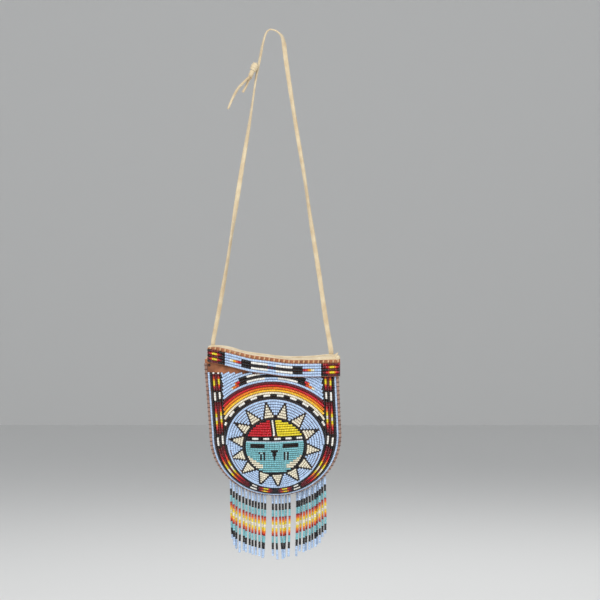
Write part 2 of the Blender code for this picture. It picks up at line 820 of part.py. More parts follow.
def mouth_stations(grow=0.0):
    """The mouth: a wedge with its stem below, read from left to right."""
    top = grow + FACE_HEIGHT - MOUTH_START
    half, stem = MOUTH_WIDTH / 2 + grow, MOUTH_WIDTH / 6 + grow
    stations = []
    for u in (-half, -stem - STEP, -stem, stem, stem + STEP, half):
        low = top - WEDGE_DEPTH * (half - abs(u)) / half - WEDGE_LIP - 2 * grow
        if abs(u) <= stem:
            low = top - MOUTH_HEIGHT - 2 * grow
        stations.append(((u, low), (u, top)))
    return stations


def cut_out(ob, stations, cutters):
    """Cuts a piece's place out of a field, by a Boolean with a taller copy of the piece."""
    rings = []
    for first, last in stations:
        low, high = Vector(first), Vector(last)
        rings.append(
            [
                skin(low.x, low.y, -2 * BEAD_RISE),
                skin(high.x, high.y, -2 * BEAD_RISE),
                skin(high.x, high.y, 3 * BEAD_RISE),
                skin(low.x, low.y, 3 * BEAD_RISE),
            ]
        )
    bm = bmesh.new()
    join_rings(bm, rings)
    number = len(cutters.objects) + 1
    tool = finish_mesh(f"place_cutter_{number}", bm, "black")
    cut_with(ob, tool, cutters)


def make_face(cutters):
    brow_low, brow_high = BROW_LINE - BROW_HEIGHT / 2, BROW_LINE + BROW_HEIGHT / 2
    parting = PARTING_WIDTH / 2
    floor = brow_high + GAP
    end = face_half_at(floor + THIN)
    for name, edges, colour in (
        ("brow_red", (-end, PARTING_X - parting - 3 * GAP), "red"),
        ("brow_yellow", (PARTING_X + parting + 3 * GAP, end), "yellow"),
    ):
        quarter = [((u, floor), (u, face_edge(u, True))) for u in spread(edges, 5)]
        lay_field(name, quarter, 2, colour, valley=1.0)
    ends = face_half_at(brow_high)
    left, right = PARTING_X - parting, PARTING_X + parting
    stations = []
    for u in [*spread([-ends, left - STEP], 3), left, right, *spread([right + STEP, ends], 3)]:
        high = face_edge(u, True) if left <= u <= right else brow_high
        stations.append(((u, brow_low), (u, high)))
    lay_field("brow_bar", stations, 1, "black", valley=1.0)
    eyes = []
    for name, side in (("left_eye", -1), ("right_eye", 1)):
        where = (side * EYE_APART / 2, FACE_HEIGHT - EYE_DROP)
        lay_field(name, box_stations(*where, EYE_WIDTH, EYE_HEIGHT), 1, "black", valley=1.0)
        eyes.append(box_stations(*where, EYE_WIDTH + 2 * GAP, EYE_HEIGHT + 2 * GAP))
    lay_field("mouth", mouth_stations(), 1, "black", valley=1.0)
    high = brow_low - GAP
    ends = face_half_at(high - THIN)
    ground = [((u, face_edge(u, False)), (u, high)) for u in spread([-ends, 0.0, ends], 6)]
    field = lay_field("face_ground", ground, FACE_LANES, "turquoise")
    for stations in (*eyes, mouth_stations(GAP)):
        cut_out(field, stations, cutters)


# Flap


def flap_face(share, z, height):
    """A point over the flap band's outer face."""
    return flap_point(share, z, FLAP_LEATHER + height)


def flap_edge(share, lanes):
    """A place on the flap, a number of lanes over its middle."""
    return share, lane_line(share) + lanes * FLAP_LANE


def band_top(share):
    """Height of the flap band's upper edge, under the fold."""
    lanes_top = lane_line(share) + FLAP_LANES / 2 * FLAP_LANE
    return min(lanes_top + FLAP_MARGIN, hem_top(share) - FOLD_SETBACK)


def hang_on_hinge(nodes, y):
    """Parents the flap to an empty whose X axis lies along the fold's rear edge, where it turns."""
    left, right = (Vector((hem_x(share), y, hem_top(share) - FOLD_SETBACK)) for share in (0.0, 1.0))
    hinge = bpy.data.objects.new("flap_hinge", None)
    hinge.location = (left + right) / 2
    hinge.rotation_mode = "QUATERNION"
    hinge.rotation_quaternion = Vector((1, 0, 0)).rotation_difference(left - right)
    hinge.empty_display_size = HEM_HALF_LENGTH
    bpy.data.collections["beaded_medicine_bag"].objects.link(hinge)
    bpy.context.view_layer.update()
    for node in nodes:
        node.parent = hinge
        node.matrix_parent_inverse = hinge.matrix_world.inverted()


def make_flap():
    half_lanes = FLAP_LANES / 2 * FLAP_LANE

    def band(s, t):
        share = (s + 1) / 2
        return flap_point(share, mix(lane_line(share) - half_lanes, band_top(share), t), FLAP_LEATHER)

    nodes = [shell("flap_leather", band, 24, 2, (0, FLAP_LEATHER, 0), "leather")]
    slant = FLAP_LEATHER / math.sqrt(2)
    rear = HEM_Y - HEM_RADIUS - GAP - slant

    def fold(s, t):
        share = (s + 1) / 2
        front = flap_point(share, band_top(share) + GAP, FLAP_LEATHER)
        top = hem_top(share) - FOLD_SETBACK + FLAP_LEATHER
        y = mix(rear, front.y, math.sin(t * math.pi / 2))
        z = mix(front.z + slant, max(top, front.z + slant), math.cos(t * math.pi / 2))
        return Vector((hem_x(share), y, z))

    nodes.append(shell("flap_fold", fold, 24, 3, (0, slant, -slant), "buckskin"))
    gap = GAP / HEM_HALF_LENGTH / 2
    half = FLAP_LANES / 2
    for name, start, end in (
        ("left_end_block", 0.0, END_BLOCK - gap),
        ("right_end_block", 1 - END_BLOCK + gap, 1.0),
    ):
        stations = [(flap_edge(share, -half), flap_edge(share, half)) for share in spread([start, end], 3)]
        nodes.append(lay_field(name, stations, FLAP_LANES, "orange", flap_face))
    start, end = FLAP_FEATHER
    part = half - 1
    stations = [(flap_edge(share, -part), flap_edge(share, part)) for share in spread([start, end], 10)]
    nodes.append(lay_field("flap_feathers", stations, FLAP_LANES - 2, "black", flap_face))
    clear = part + GAP / FLAP_LANE
    inner = [(share, clear) for share in spread([start - gap, end + gap], 10)]
    outer = [(share, half) for share in spread([END_BLOCK + gap, 1 - END_BLOCK - gap], 10)]
    loop = []
    for (share, lanes), (out_share, out_lanes) in zip(inner, outer):
        loop.append((flap_edge(share, lanes), flap_edge(out_share, out_lanes)))
    for (share, lanes), (out_share, out_lanes) in zip(inner[::-1], outer[::-1]):
        loop.append((flap_edge(share, -lanes), flap_edge(out_share, -out_lanes)))
    nodes.append(lay_field("flap_lanes", loop, 2, "light_blue", flap_face, valley=1.0, closed=True))
    hang_on_hinge(nodes, rear + slant / 2)


# Fringe


def strand_mesh():
    """One strand's outline, turned by a Screw modifier into a rod with a neck at each colour."""
    shoulder = STRAND_RADIUS
    profile = [(0.0, 0.0), (shoulder * 0.45, -0.0004), (shoulder, -0.0013)]
    for share in STRAND_BANDS:
        profile.append((shoulder * STRAND_NECK, -share * STRAND_LENGTH))
    profile += [(shoulder, -STRAND_LENGTH + 0.0010), (0.0, -STRAND_LENGTH)]
    bm = bmesh.new()
    verts = [bm.verts.new((x, 0, z)) for x, z in profile]
    for a, b in zip(verts, verts[1:]):
        bm.edges.new((a, b))
    mesh = bpy.data.meshes.new("fringe_strand")
    bm.to_mesh(mesh)
    bm.free()
    mesh.materials.append(material("light_blue"))
    return mesh


def make_fringe():
    mesh = strand_mesh()
    row = STRAND_RADIUS + GAP / 2
    number = 0
    for first, last, count in STRAND_GROUPS:
        for i in range(count):
            number += 1
            u = mix(first, last, i / (count - 1))
            x, z = place(u, bottom_at(u))
            ob = add_object(f"fringe_strand_{number:02d}", mesh, "light_blue")
            ob.location = (x, row if number % 2 else -row, z - GAP)
            turn = ob.modifiers.new("turned", "SCREW")
            turn.axis = "Z"
            turn.steps = STRAND_SIDES
            turn.render_steps = STRAND_SIDES
            turn.use_merge_vertices = True
            turn.merge_threshold = 0.00001


clear_scene()
new_collection("beaded_medicine_bag")
cutter_collection = new_collection("cutters")
make_back_panel()
make_front_panel()
make_binding()
make_hem(cutter_collection)
make_thong()
make_knot()
make_border()
make_arcs()
make_upper_field()
make_sun()
make_face(cutter_collection)
make_flap()
make_fringe()
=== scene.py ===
import math
import random

import bmesh
import bpy
import numpy as np
from mathutils import Matrix, Vector


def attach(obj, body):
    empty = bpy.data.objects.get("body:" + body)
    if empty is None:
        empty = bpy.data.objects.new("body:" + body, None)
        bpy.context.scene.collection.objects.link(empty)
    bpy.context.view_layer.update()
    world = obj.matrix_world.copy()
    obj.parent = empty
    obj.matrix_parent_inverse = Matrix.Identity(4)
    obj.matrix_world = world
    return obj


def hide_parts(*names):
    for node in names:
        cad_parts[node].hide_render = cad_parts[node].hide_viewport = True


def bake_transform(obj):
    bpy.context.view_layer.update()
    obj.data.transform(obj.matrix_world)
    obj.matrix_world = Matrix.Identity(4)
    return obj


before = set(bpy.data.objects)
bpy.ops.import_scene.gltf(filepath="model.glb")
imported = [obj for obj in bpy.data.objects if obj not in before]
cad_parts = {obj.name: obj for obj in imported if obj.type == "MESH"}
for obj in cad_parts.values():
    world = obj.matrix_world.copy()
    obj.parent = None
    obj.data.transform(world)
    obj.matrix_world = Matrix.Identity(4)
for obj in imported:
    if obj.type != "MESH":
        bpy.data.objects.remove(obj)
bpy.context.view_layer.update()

# The camera stands level with the middle of the photograph, a little to the right of the bag,
# and looks straight at the beaded front.
PIXEL = 0.0009  # metres a pixel at the bag
ORIGIN_PIXEL = (273.0, 31.4)
CAMERA_DISTANCE = 1.7
PHOTO_SIZE = 600
camera_data = bpy.data.cameras.new("photograph_camera")
camera_data.sensor_width = 36
camera_data.lens = 36 * CAMERA_DISTANCE / (PHOTO_SIZE * PIXEL)


def placed(name, data):
    """A new object of the scene."""
    ob = bpy.data.objects.new(name, data)
    bpy.context.scene.collection.objects.link(ob)
    return ob


camera = placed("photograph_camera", camera_data)
camera.location = (
    (PHOTO_SIZE / 2 - ORIGIN_PIXEL[0]) * PIXEL,
    -CAMERA_DISTANCE,
    (ORIGIN_PIXEL[1] - PHOTO_SIZE / 2) * PIXEL,
)
camera.rotation_euler = (math.radians(90), 0, 0)
bpy.context.scene.camera = camera


# The thong: one long lace cut from tan buckskin, flat and twisted along its length. It comes up
# out of the hem at both corners and hangs from its middle.
HEM_Y = 0.0026
LACE_WIDTH = 0.0037
LACE_THICKNESS = 0.0013
THONG_ROUTE = (
    (-0.0541, -0.2837), (-0.0541, -0.2807), (-0.0535, -0.2760), (-0.0500, -0.2579),
    (-0.0423, -0.2147), (-0.0356, -0.1715), (-0.0288, -0.1283), (-0.0216, -0.0851),
    (-0.0153, -0.0419), (-0.0117, -0.0240), (-0.0092, -0.0110), (-0.0070, -0.0032),
    (-0.0059, -0.0007), (-0.0040, 0.0013), (-0.0018, 0.0019), (0.0027, 0.0006),
    (0.0056, -0.0015), (0.0083, -0.0047), (0.0101, -0.0127), (0.0107, -0.0185),
    (0.0140, -0.0419), (0.0207, -0.0851), (0.0279, -0.1283), (0.0342, -0.1715),
    (0.0410, -0.2147), (0.0473, -0.2579), (0.0509, -0.2790), (0.0523, -0.2880),
    (0.0523, -0.2915),
)
TWISTS = (  # share of the length, degrees off facing the front, width
    (0.0, 10, 1.0), (0.07, 25, 1.05), (0.16, 60, 0.95), (0.22, 20, 1.1), (0.31, -35, 1.0),
    (0.38, -75, 0.9), (0.44, -60, 0.85), (0.50, -78, 0.85), (0.515, -50, 1.0),
    (0.53, -12, 1.12), (0.57, 5, 1.02), (0.62, 34, 1.0), (0.67, 15, 0.98), (0.75, 50, 0.95),
    (0.82, 25, 1.05), (0.90, 5, 1.1), (1.0, 0, 1.15),
)


def deselect():
    bpy.ops.object.select_all(action="DESELECT")


def through(knots, at, column=1):
    """A smooth curve through the knots' places and one column of their values, read at one place."""
    last = len(knots) - 1
    i = 0
    while i < last - 1 and at > knots[i + 1][0]:
        i += 1
    four = (max(i - 1, 0), i, i + 1, min(i + 2, last))
    before, (x0, y0), (x1, y1), after = [(knots[n][0], knots[n][column]) for n in four]
    slope0 = (y1 - before[1]) / (x1 - before[0])
    slope1 = (after[1] - y0) / (after[0] - x0)
    span = x1 - x0
    t = (at - x0) / span
    bend = (t**3 - 2 * t**2 + t) * slope0 + (t**3 - t**2) * slope1
    return y0 + (3 * t**2 - 2 * t**3) * (y1 - y0) + span * bend


def walk(points, pitch, start=0.5):
    """Places along a line of points, one for each pitch: point number and share, and distance."""
    lengths = [(b - a).length for a, b in zip(points, points[1:])]
    total = sum(lengths)
    count = max(int(round(total / pitch)), 1)
    step = total / count
    places, gone, target = [], 0.0, step * start
    for i, length in enumerate(lengths):
        while len(places) < count and gone + length >= target - 1e-9:
            places.append((i + (target - gone) / length, target))
            target += step
        gone += length
    return places, total


def smooth_route(points, spacing):
    """Evenly spaced points on a smooth curve through the given ones."""
    fine = []
    last = len(points) - 1
    for i in range(last):
        p0, p1 = Vector(points[max(i - 1, 0)]), Vector(points[i])
        p2, p3 = Vector(points[i + 1]), Vector(points[min(i + 2, last)])
        for k in range(24):
            t = k / 24
            curve = 2 * p1 + (p2 - p0) * t + (2 * p0 - 5 * p1 + 4 * p2 - p3) * t**2
            fine.append((curve + (3 * p1 - p0 - 3 * p2 + p3) * t**3) / 2)
    fine.append(Vector(points[last]))
    places, _ = walk(fine, spacing, 1.0)
    inner = [fine[int(at)].lerp(fine[int(at) + 1], at % 1) for at, _ in places[:-1]]
    return [fine[0], *inner, fine[-1]]


def route_length(route):
    return sum((b - a).length for a, b in zip(route, route[1:]))


def shade_smooth(ob):
    ob.data.polygons.foreach_set("use_smooth", [True] * len(ob.data.polygons))


def skin(bm, rings):
    """Faces between neighbouring rings of points, and a cap at either end."""
    for ring, after in zip(rings, rings[1:]):
        for k in range(len(ring)):
            n = (k + 1) % len(ring)
            bm.faces.new((ring[k], ring[n], after[n], after[k]))
    bm.faces.new(rings[0])
    bm.faces.new(rings[-1])


def finished(name, bm, finish, round_shape=True):
    """The shape as an object of the scene, with its material and its faces pointing outwards."""
    bmesh.ops.recalc_face_normals(bm, faces=bm.faces[:])
    mesh = bpy.data.meshes.new(name)
    bm.to_mesh(mesh)
    bm.free()
    mesh.materials.append(finish)
    ob = placed(name, mesh)
    if round_shape:
        shade_smooth(ob)
    return ob


def lace(name, route, turns, width, thickness, axis=None):
    """A flat lace along a route, turned and narrowed as the turns say, or laid along an axis."""
    section = [(-0.5, -0.32), (-0.44, -0.5), (0.0, -0.42), (0.44, -0.5)]
    section += [(0.5, -0.3), (0.5, 0.3), (0.44, 0.5), (0.0, 0.44), (-0.44, 0.5), (-0.5, 0.32)]
    bm = bmesh.new()
    rings = []
    last = len(route) - 1
    ripple = random.Random(7)
    for i, point in enumerate(route):
        along = (route[min(i + 1, last)] - route[max(i - 1, 0)]).normalized()
        side = along.cross(Vector((0, 1, 0))) if axis is None else axis - along * axis.dot(along)
        side.normalize()
        out = side.cross(along)
        turn = Matrix.Rotation(math.radians(through(turns, i / last)), 3, along)
        wide = width * through(turns, i / last, 2) * ripple.uniform(0.95, 1.05)
        corners = [side * (a * wide) + out * (b * thickness) for a, b in section]
        rings.append([bm.verts.new(point + turn @ corner) for corner in corners])
    skin(bm, rings)
    return finished(name, bm, buckskin)


def add_node(tree, kind, values=None, **settings):
    """A node with its settings, and with values on its own inputs."""
    node = tree.nodes.new(kind)
    for name, value in settings.items():
        setattr(node, name, value)
    for name, value in (values or {}).items():
        node.inputs[name].default_value = value
    return node


def wire(tree, *wires):
    """Each wire runs from a node's output to a node's input."""
    for source, output, target, socket in wires:
        tree.links.new(source.outputs[output], target.inputs[socket])


def leather_group():
    """Grain, pores and blotches of leather: a colour, a roughness and a height."""
    group = bpy.data.node_groups.new("leather_grain", "ShaderNodeTree")
    for way, kind, titles in (
        ("INPUT", "NodeSocketColor", ("Light", "Dark")),
        ("INPUT", "NodeSocketFloat", ("Grain Scale", "Blotch Scale", "Roughness")),
        ("OUTPUT", "NodeSocketColor", ("Color",)),
        ("OUTPUT", "NodeSocketFloat", ("Roughness", "Height")),
    ):
        for title in titles:
            group.interface.new_socket(title, in_out=way, socket_type=kind)
    inside, outside = add_node(group, "NodeGroupInput"), add_node(group, "NodeGroupOutput")
    place_at = add_node(group, "ShaderNodeTexCoord")
    grain = add_node(group, "ShaderNodeTexNoise", {"Detail": 4})
    blotch = add_node(group, "ShaderNodeTexNoise", {"Detail": 5})
    pores = add_node(group, "ShaderNodeTexVoronoi")
    spread = add_node(group, "ShaderNodeMapRange", {"From Min": 0.3, "From Max": 0.7})
    fine = add_node(group, "ShaderNodeMath", {1: 0.35, 2: -0.17}, operation="MULTIPLY_ADD")
    total = add_node(group, "ShaderNodeMath", operation="ADD", use_clamp=True)
    colour = add_node(group, "ShaderNodeMix", data_type="RGBA")
    rough = add_node(group, "ShaderNodeMath", {1: 0.2}, operation="MULTIPLY_ADD")
    height = add_node(group, "ShaderNodeMath", operation="ADD")
    for texture, scale in ((grain, "Grain Scale"), (blotch, "Blotch Scale"), (pores, "Grain Scale")):
        wire(group, (place_at, "Object", texture, "Vector"), (inside, scale, texture, "Scale"))
    wire(
        group,
        (blotch, "Fac", spread, "Value"),
        (grain, "Fac", fine, 0),
        (spread, "Result", total, 0),
        (fine, "Value", total, 1),
        (total, "Value", colour, "Factor"),
        (inside, "Dark", colour, "A"),
        (inside, "Light", colour, "B"),
        (grain, "Fac", rough, 0),
        (inside, "Roughness", rough, 2),
        (grain, "Fac", height, 0),
        (pores, "Distance", height, 1),
        (colour, "Result", outside, "Color"),
        (rough, "Value", outside, "Roughness"),
        (height, "Value", outside, "Height"),
    )
    return group


def linear(red, green, blue):
    """A colour as painted, 0 to 255, in the shader's own numbers."""
    made = []
    for value in (red, green, blue):
        share = value / 255
        made.append(share / 12.92 if share <= 0.04045 else ((share + 0.055) / 1.055) ** 2.4)
    return (*made, 1.0)


grain_of_leather = leather_group()


def new_material(name, values):
    """A material's node tree and its shader, with values on the shader's own inputs."""
    made = bpy.data.materials.new(name)
    made.use_nodes = True
    shader = made.node_tree.nodes["Principled BSDF"]
    for socket, value in values.items():
        shader.inputs[socket].default_value = value
    return made, made.node_tree, shader


def leather(name, light, dark, rough, grain=900.0, blotch=60.0, bump=0.3, sheen=0.2):
    gloss = {"Specular IOR Level": 0.25, "Sheen Weight": sheen, "Sheen Roughness": 0.6}
    made, tree, shader = new_material(name, gloss)
    values = {"Light": linear(*light), "Dark": linear(*dark), "Roughness": rough}
    values |= {"Grain Scale": grain, "Blotch Scale": blotch}
    grained = add_node(tree, "ShaderNodeGroup", values, node_tree=grain_of_leather)
    relief = add_node(tree, "ShaderNodeBump", {"Strength": bump, "Distance": 0.0004})
    wire(
        tree,
        (grained, "Color", shader, "Base Color"),
        (grained, "Roughness", shader, "Roughness"),
        (grained, "Height", relief, "Height"),
        (relief, "Normal", shader, "Normal"),
    )
    return made


buckskin = leather("smoked_buckskin", (214, 198, 165), (190, 168, 134), 0.75, 1100, 110, 0.5, 0.2)
deep = abs(THONG_ROUTE[-1][1])
thong_points = [(x, HEM_Y * min(max(-z / deep, 0.0), 1.0), z) for x, z in THONG_ROUTE]
thong_route = smooth_route(thong_points, 0.003)
thong = lace("thong_lace", thong_route, TWISTS, LACE_WIDTH, LACE_THICKNESS)
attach(thong, "pouch")
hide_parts("strap_thong")


# The thong's two ends are tied together in one overhand knot beside its left run. A long end and
# a short end hang from it.
KNOT_MIDDLE = Vector((-0.0184, -0.0037, -0.0364))
KNOT_LEAN = 25.0
TAIL_SPLIT = 0.0026
LONG_TAIL = (
    (-0.0212, -0.0414), (-0.0262, -0.0464), (-0.0314, -0.0521), (-0.0361, -0.0605), (-0.0403, -0.0704),
)
SHORT_TAIL = ((-0.0208, -0.0412), (-0.0228, -0.0465), (-0.0250, -0.0513), (-0.0272, -0.0552))
for name, points, side, node, turns in (
    ("long_end", LONG_TAIL, -0.5, "long_tail", ((0.0, 20, 0.8), (0.4, -30, 1.0), (1.0, 25, 0.75))),
    ("short_end", SHORT_TAIL, 0.5, "short_tail", ((0.0, 0, 0.9), (0.5, 40, 1.0), (1.0, 10, 0.8))),
):
    route = smooth_route([(x, KNOT_MIDDLE.y + side * TAIL_SPLIT, z) for x, z in points], 0.001)
    tail = lace(name, route, turns, 0.0024, 0.0010)
    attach(tail, "pouch")
    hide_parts(node)


def wrap(name, middle, reach, radius, turns, width, steps=16):
    """A lace wound round the knot's axis. Its ends are tucked in at the back."""
    points = []
    for i in range(turns * steps + 1):
        angle = 2 * math.pi * i / steps + math.pi / 2
        along = reach * (1 - 2 * i / (turns * steps))
        bulge = radius * math.sqrt(1 - 0.4 * (along / reach) ** 2)
        local = Vector((bulge * math.cos(angle), bulge * math.sin(angle), middle + along))
        points.append(KNOT_MIDDLE + knot_turn @ local)
    return lace(name, points, ((0, 0, 1), (1, 0, 1)), width, 0.0013, knot_turn @ Vector((0, 0, 1)))


knot_turn = Matrix.Rotation(math.radians(KNOT_LEAN), 3, "Y")
knot_parts = [
    wrap("knot_wraps", 0.0042, 0.0029, 0.0027, 3, 0.0026),
    wrap("knot_loop", -0.0030, 0.0028, 0.0016, 1, 0.0040),
]
deselect()
bpy.ops.mesh.primitive_uv_sphere_add(segments=16, ring_count=10, radius=1.0)
core = bpy.context.object
core_size = Matrix.Diagonal((0.0020, 0.0020, 0.0088, 1))
core.data.transform(Matrix.Translation(KNOT_MIDDLE) @ knot_turn.to_4x4() @ core_size)
knot_parts.append(core)
deselect()
for part in knot_parts:
    part.select_set(True)
bpy.context.view_layer.objects.active = knot_parts[0]
bpy.ops.object.join()
knot = bpy.context.object
knot.name = "thong_knot"
knot.data.materials.clear()
knot.data.materials.append(buckskin)
shade_smooth(knot)
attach(knot, "pouch")
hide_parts("strap_knot")


# The pouch: a tan buckskin back and a brown leather front, cut to one outline with a round bottom
# and laid edge to edge. Both are soft, so they crown outwards over the pocket.
STRAP_DROP = 0.2822
POUCH_HEIGHT = 0.1352
HALF_WIDTH = 0.0592
BOTTOM_DROP = 0.0550
ROUNDNESS = 2.1
MIDDLE_X = 0.0022
SIDE_LEAN = 0.0595
SIDE_FLARE = 0.28
SPRING_Z = -(STRAP_DROP + POUCH_HEIGHT - BOTTOM_DROP)
FRONT_TOP = POUCH_HEIGHT - BOTTOM_DROP - 0.0127
SEAM = 0.00015
SKIN = 0.0016
PANEL_INSET = 0.0013
FRONT_BULGE = 0.0080
MOUTH_BULGE = 0.0056
BACK_BULGE = 0.0025
BACK_MOUTH_BULGE = 0.0008
BULGE_FROM = 0.0150
CROWN_FLAT = 0.0300
SIDE_ROLL = 0.014
BOTTOM_ROLL = 0.004
BACK_ROLL = 0.020
HEM_HALF_LENGTH = 0.0601
HEM_MIDDLE_X = 0.0002
HEM_RADIUS = 0.0028
HEM_SAG = (
    (0.0, 0.0009), (0.06, 0.0), (0.17, 0.0013), (0.27, 0.0049), (0.40, 0.0074),
    (0.60, 0.0099), (0.80, 0.0095), (0.92, 0.0081), (1.0, 0.0093),
)


def mix(a, b, share):
    return a + (b - a) * share


def smooth(share):
    share = min(max(share, 0.0), 1.0)
    return share * share * (3 - 2 * share)


def place(u, v):
    """x and z of a place on the pouch, u across from its middle line and v up from the spring line."""
    rise = max(v, 0.0)
    return MIDDLE_X - SIDE_LEAN * rise + u * (1 + SIDE_FLARE * rise), SPRING_Z + v


def bottom_at(u, half_width=HALF_WIDTH, drop=BOTTOM_DROP):
    share = min(abs(u) / half_width, 1.0)
    return -drop * (1 - share**ROUNDNESS) ** (1 / ROUNDNESS)


def from_edge(u, v):
    """How far (u, v) lies in from the outline, and how much of that edge is the bottom."""
    if v >= 0:
        return max(HALF_WIDTH - abs(u), 0.0), 0.0
    across, down = abs(u) / HALF_WIDTH, abs(v) / BOTTOM_DROP
    ray = (across**ROUNDNESS + down**ROUNDNESS) ** (1 / ROUNDNESS)
    reach = math.hypot(u, v)
    return max(reach / ray - reach, 0.0), down**2 / (across**2 + down**2)


def crown(u, v, bulge, mouth_bulge, side_roll, bottom_roll):
    inwards, share = from_edge(u, v)
    roll = mix(side_roll, bottom_roll, share)
    depth = mix(bulge, mouth_bulge, smooth((v - BULGE_FROM) / (FRONT_TOP - BULGE_FROM)))
    return depth * (1 - math.exp(-min(inwards, CROWN_FLAT) / roll))


def front_depth(u, v):
    return SEAM + SKIN + crown(u, v, FRONT_BULGE, MOUTH_BULGE, SIDE_ROLL, BOTTOM_ROLL)


def front_leather(u, v):
    x, z = place(u, v)
    return Vector((x, -front_depth(u, v), z))


def front_normal(u, v):
    step = 0.0004
    across = front_leather(u + step, v) - front_leather(u - step, v)
    up = front_leather(u, v + step) - front_leather(u, v - step)
    return across.cross(up).normalized()


def back_leather(u, v):
    return SEAM + crown(u, v, BACK_BULGE, BACK_MOUTH_BULGE, BACK_ROLL, BACK_ROLL)


def hem_x(share):
    return HEM_MIDDLE_X + HEM_HALF_LENGTH * (2 * share - 1)


def hem_top(share):
    return -STRAP_DROP - through(HEM_SAG, share)


def thicken(ob, thickness, offset):
    deselect()
    ob.select_set(True)
    bpy.context.view_layer.objects.active = ob
    wall = ob.modifiers.new("thickness", "SOLIDIFY")
    wall.thickness = thickness
    wall.offset = offset
    bpy.ops.object.modifier_apply(modifier=wall.name)


def hide(name, surface, columns, rows, thickness, finish, body, node, wave=0.0, seed=1):
    """A sheet of leather on a grid: surface(s, t), with s from -1 to 1 and t from 0 to 1."""
    deselect()
    bpy.ops.mesh.primitive_grid_add(x_subdivisions=columns, y_subdivisions=rows, size=2)
    ob = bpy.context.object
    ob.name = name
    for vert in ob.data.vertices:
        s, t = vert.co.x, (vert.co.y + 1) / 2
        vert.co = surface(s, t)
    bm = bmesh.new()
    bm.from_mesh(ob.data)
    bm.normal_update()
    phase = random.Random(seed)
    swells = [(phase.uniform(60, 240), phase.uniform(60, 240), phase.uniform(0, 6.3)) for _ in range(5)]
    for vert in bm.verts:
        swell = sum(math.sin(a * vert.co.x + b * vert.co.z + c) for a, b, c in swells) / 5
        vert.co += vert.normal * swell * wave
    bm.to_mesh(ob.data)
    bm.free()
    shade_smooth(ob)
    thicken(ob, thickness, 1)
    ob.data.materials.append(finish)
    if body:
        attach(ob, body)
    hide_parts(node)
    return ob


HOLE_AT = (-0.0548, 0.0622)
HOLE_RADIUS = 0.0008


def panel_grid(s, t, top):
    half, drop = HALF_WIDTH - PANEL_INSET, BOTTOM_DROP - PANEL_INSET
    u = half * math.sin(s * math.pi / 2)
    return u, mix(bottom_at(u, half, drop), top, t**1.5)


def front_surface(s, t):
    u, v = panel_grid(s, t, FRONT_TOP)
    return front_leather(u, v) + Vector((0, SKIN, 0))


def back_surface(s, t):
    share = (1 - math.sin(s * math.pi / 2)) / 2
    top = hem_top(share) - 2 * HEM_RADIUS - 0.0002 - SPRING_Z
    u, v = panel_grid(-s, t, top)
    x, z = place(u, v)
    above = smooth((v - FRONT_TOP) / (top - FRONT_TOP)) if top > FRONT_TOP else 0.0
    return Vector((mix(x, hem_x(0.018 + 0.982 * share), above), back_leather(u, min(v, FRONT_TOP)), z))


brown_leather = leather("brown_leather", (186, 120, 80), (124, 74, 48), 0.6, 1300, 90, 0.4, 0.1)
front = hide("front_leather", front_surface, 56, 44, SKIN, brown_leather, "pouch", "front_panel", 0.00010, 3)
# An old stitch hole near the front's top left corner: a small raised ring of near-black leather. Its dark
# colour is painted shade standing in for the depth of the hole.
deselect()
bpy.ops.mesh.primitive_torus_add(
    major_segments=14, minor_segments=6, major_radius=HOLE_RADIUS, minor_radius=HOLE_RADIUS * 0.7
)
hole = bpy.context.object
hole.name = "old_stitch_hole"
hole_out = front_normal(*HOLE_AT)
hole.data.transform(hole_out.to_track_quat("Z", "Y").to_matrix().to_4x4())
hole.data.transform(Matrix.Translation(front_leather(*HOLE_AT)))
hole.data.materials.append(leather("stitch_hole_painted_shade", (58, 34, 26), (30, 18, 14), 0.9))
shade_smooth(hole)
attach(hole, "pouch")
back = hide("back_buckskin", back_surface, 48, 48, SKIN, buckskin, "pouch", "back_panel", 0.00030, 5)


# The hem: the buckskin back rolled over the thong and sewn down, a soft uneven roll along the
# pouch's top. The thong runs inside it.
HEM_SIDES = 14
HEM_STEPS = 60
uneven = random.Random(11)
bm = bmesh.new()
rings = []
for i in range(HEM_STEPS + 1):
    share = mix(0.012, 1.0, i / HEM_STEPS)
    point = Vector((hem_x(share), HEM_Y, hem_top(share) - HEM_RADIUS))
    ends = 0.86 if i in (0, HEM_STEPS) else 1.0
    ring = []
    for k in range(HEM_SIDES):
        angle = 2 * math.pi * k / HEM_SIDES
        radius = (HEM_RADIUS - 0.00005) * ends * uneven.uniform(0.95, 1.04)
        ring.append(bm.verts.new(point + Vector((0, radius * math.cos(angle), radius * math.sin(angle)))))
    rings.append(ring)
skin(bm, rings)
hem_roll = finished("hem_roll", bm, buckskin)
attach(hem_roll, "pouch")
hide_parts("top_hem")
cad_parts["thong_in_hem"].data.materials.clear()
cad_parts["thong_in_hem"].data.materials.append(buckskin)


# The seam round both sides and the bottom is bound with a narrow folded strip of pinkish tan
# leather, held by dark sinew whipped over the edge.
BINDING_LIP = 0.0028
BINDING_WALL = 0.0010
BINDING_GAP = 0.00045  # between the panels and the strip over their edges
BINDING_TOP = FRONT_TOP - 0.0035
BORDER_START = 0.0038
BORDER_LANE = 0.0021
BOTTOM_SQUEEZE = 0.48


def inset_outline(inset, top, sides=30, turns=120):
    """(u, v) points at an inset from the outline, from the left side's top round to the right's."""
    half = HALF_WIDTH - inset
    drop = BOTTOM_DROP - min(inset, PANEL_INSET) - max(inset - PANEL_INSET, 0.0) * BOTTOM_SQUEEZE
    left = [(-half, mix(top, 0.0, i / sides)) for i in range(sides)]
    round_part = []
    for i in range(turns + 1):
        angle = math.pi * i / turns
        across = abs(math.cos(angle)) ** (2 / ROUNDNESS)
        u = -half * across if angle < math.pi / 2 else half * across
        round_part.append((u, -drop * max(math.sin(angle), 0.0) ** (2 / ROUNDNESS)))
    return left + round_part + [(-u, v) for u, v in left[::-1]]


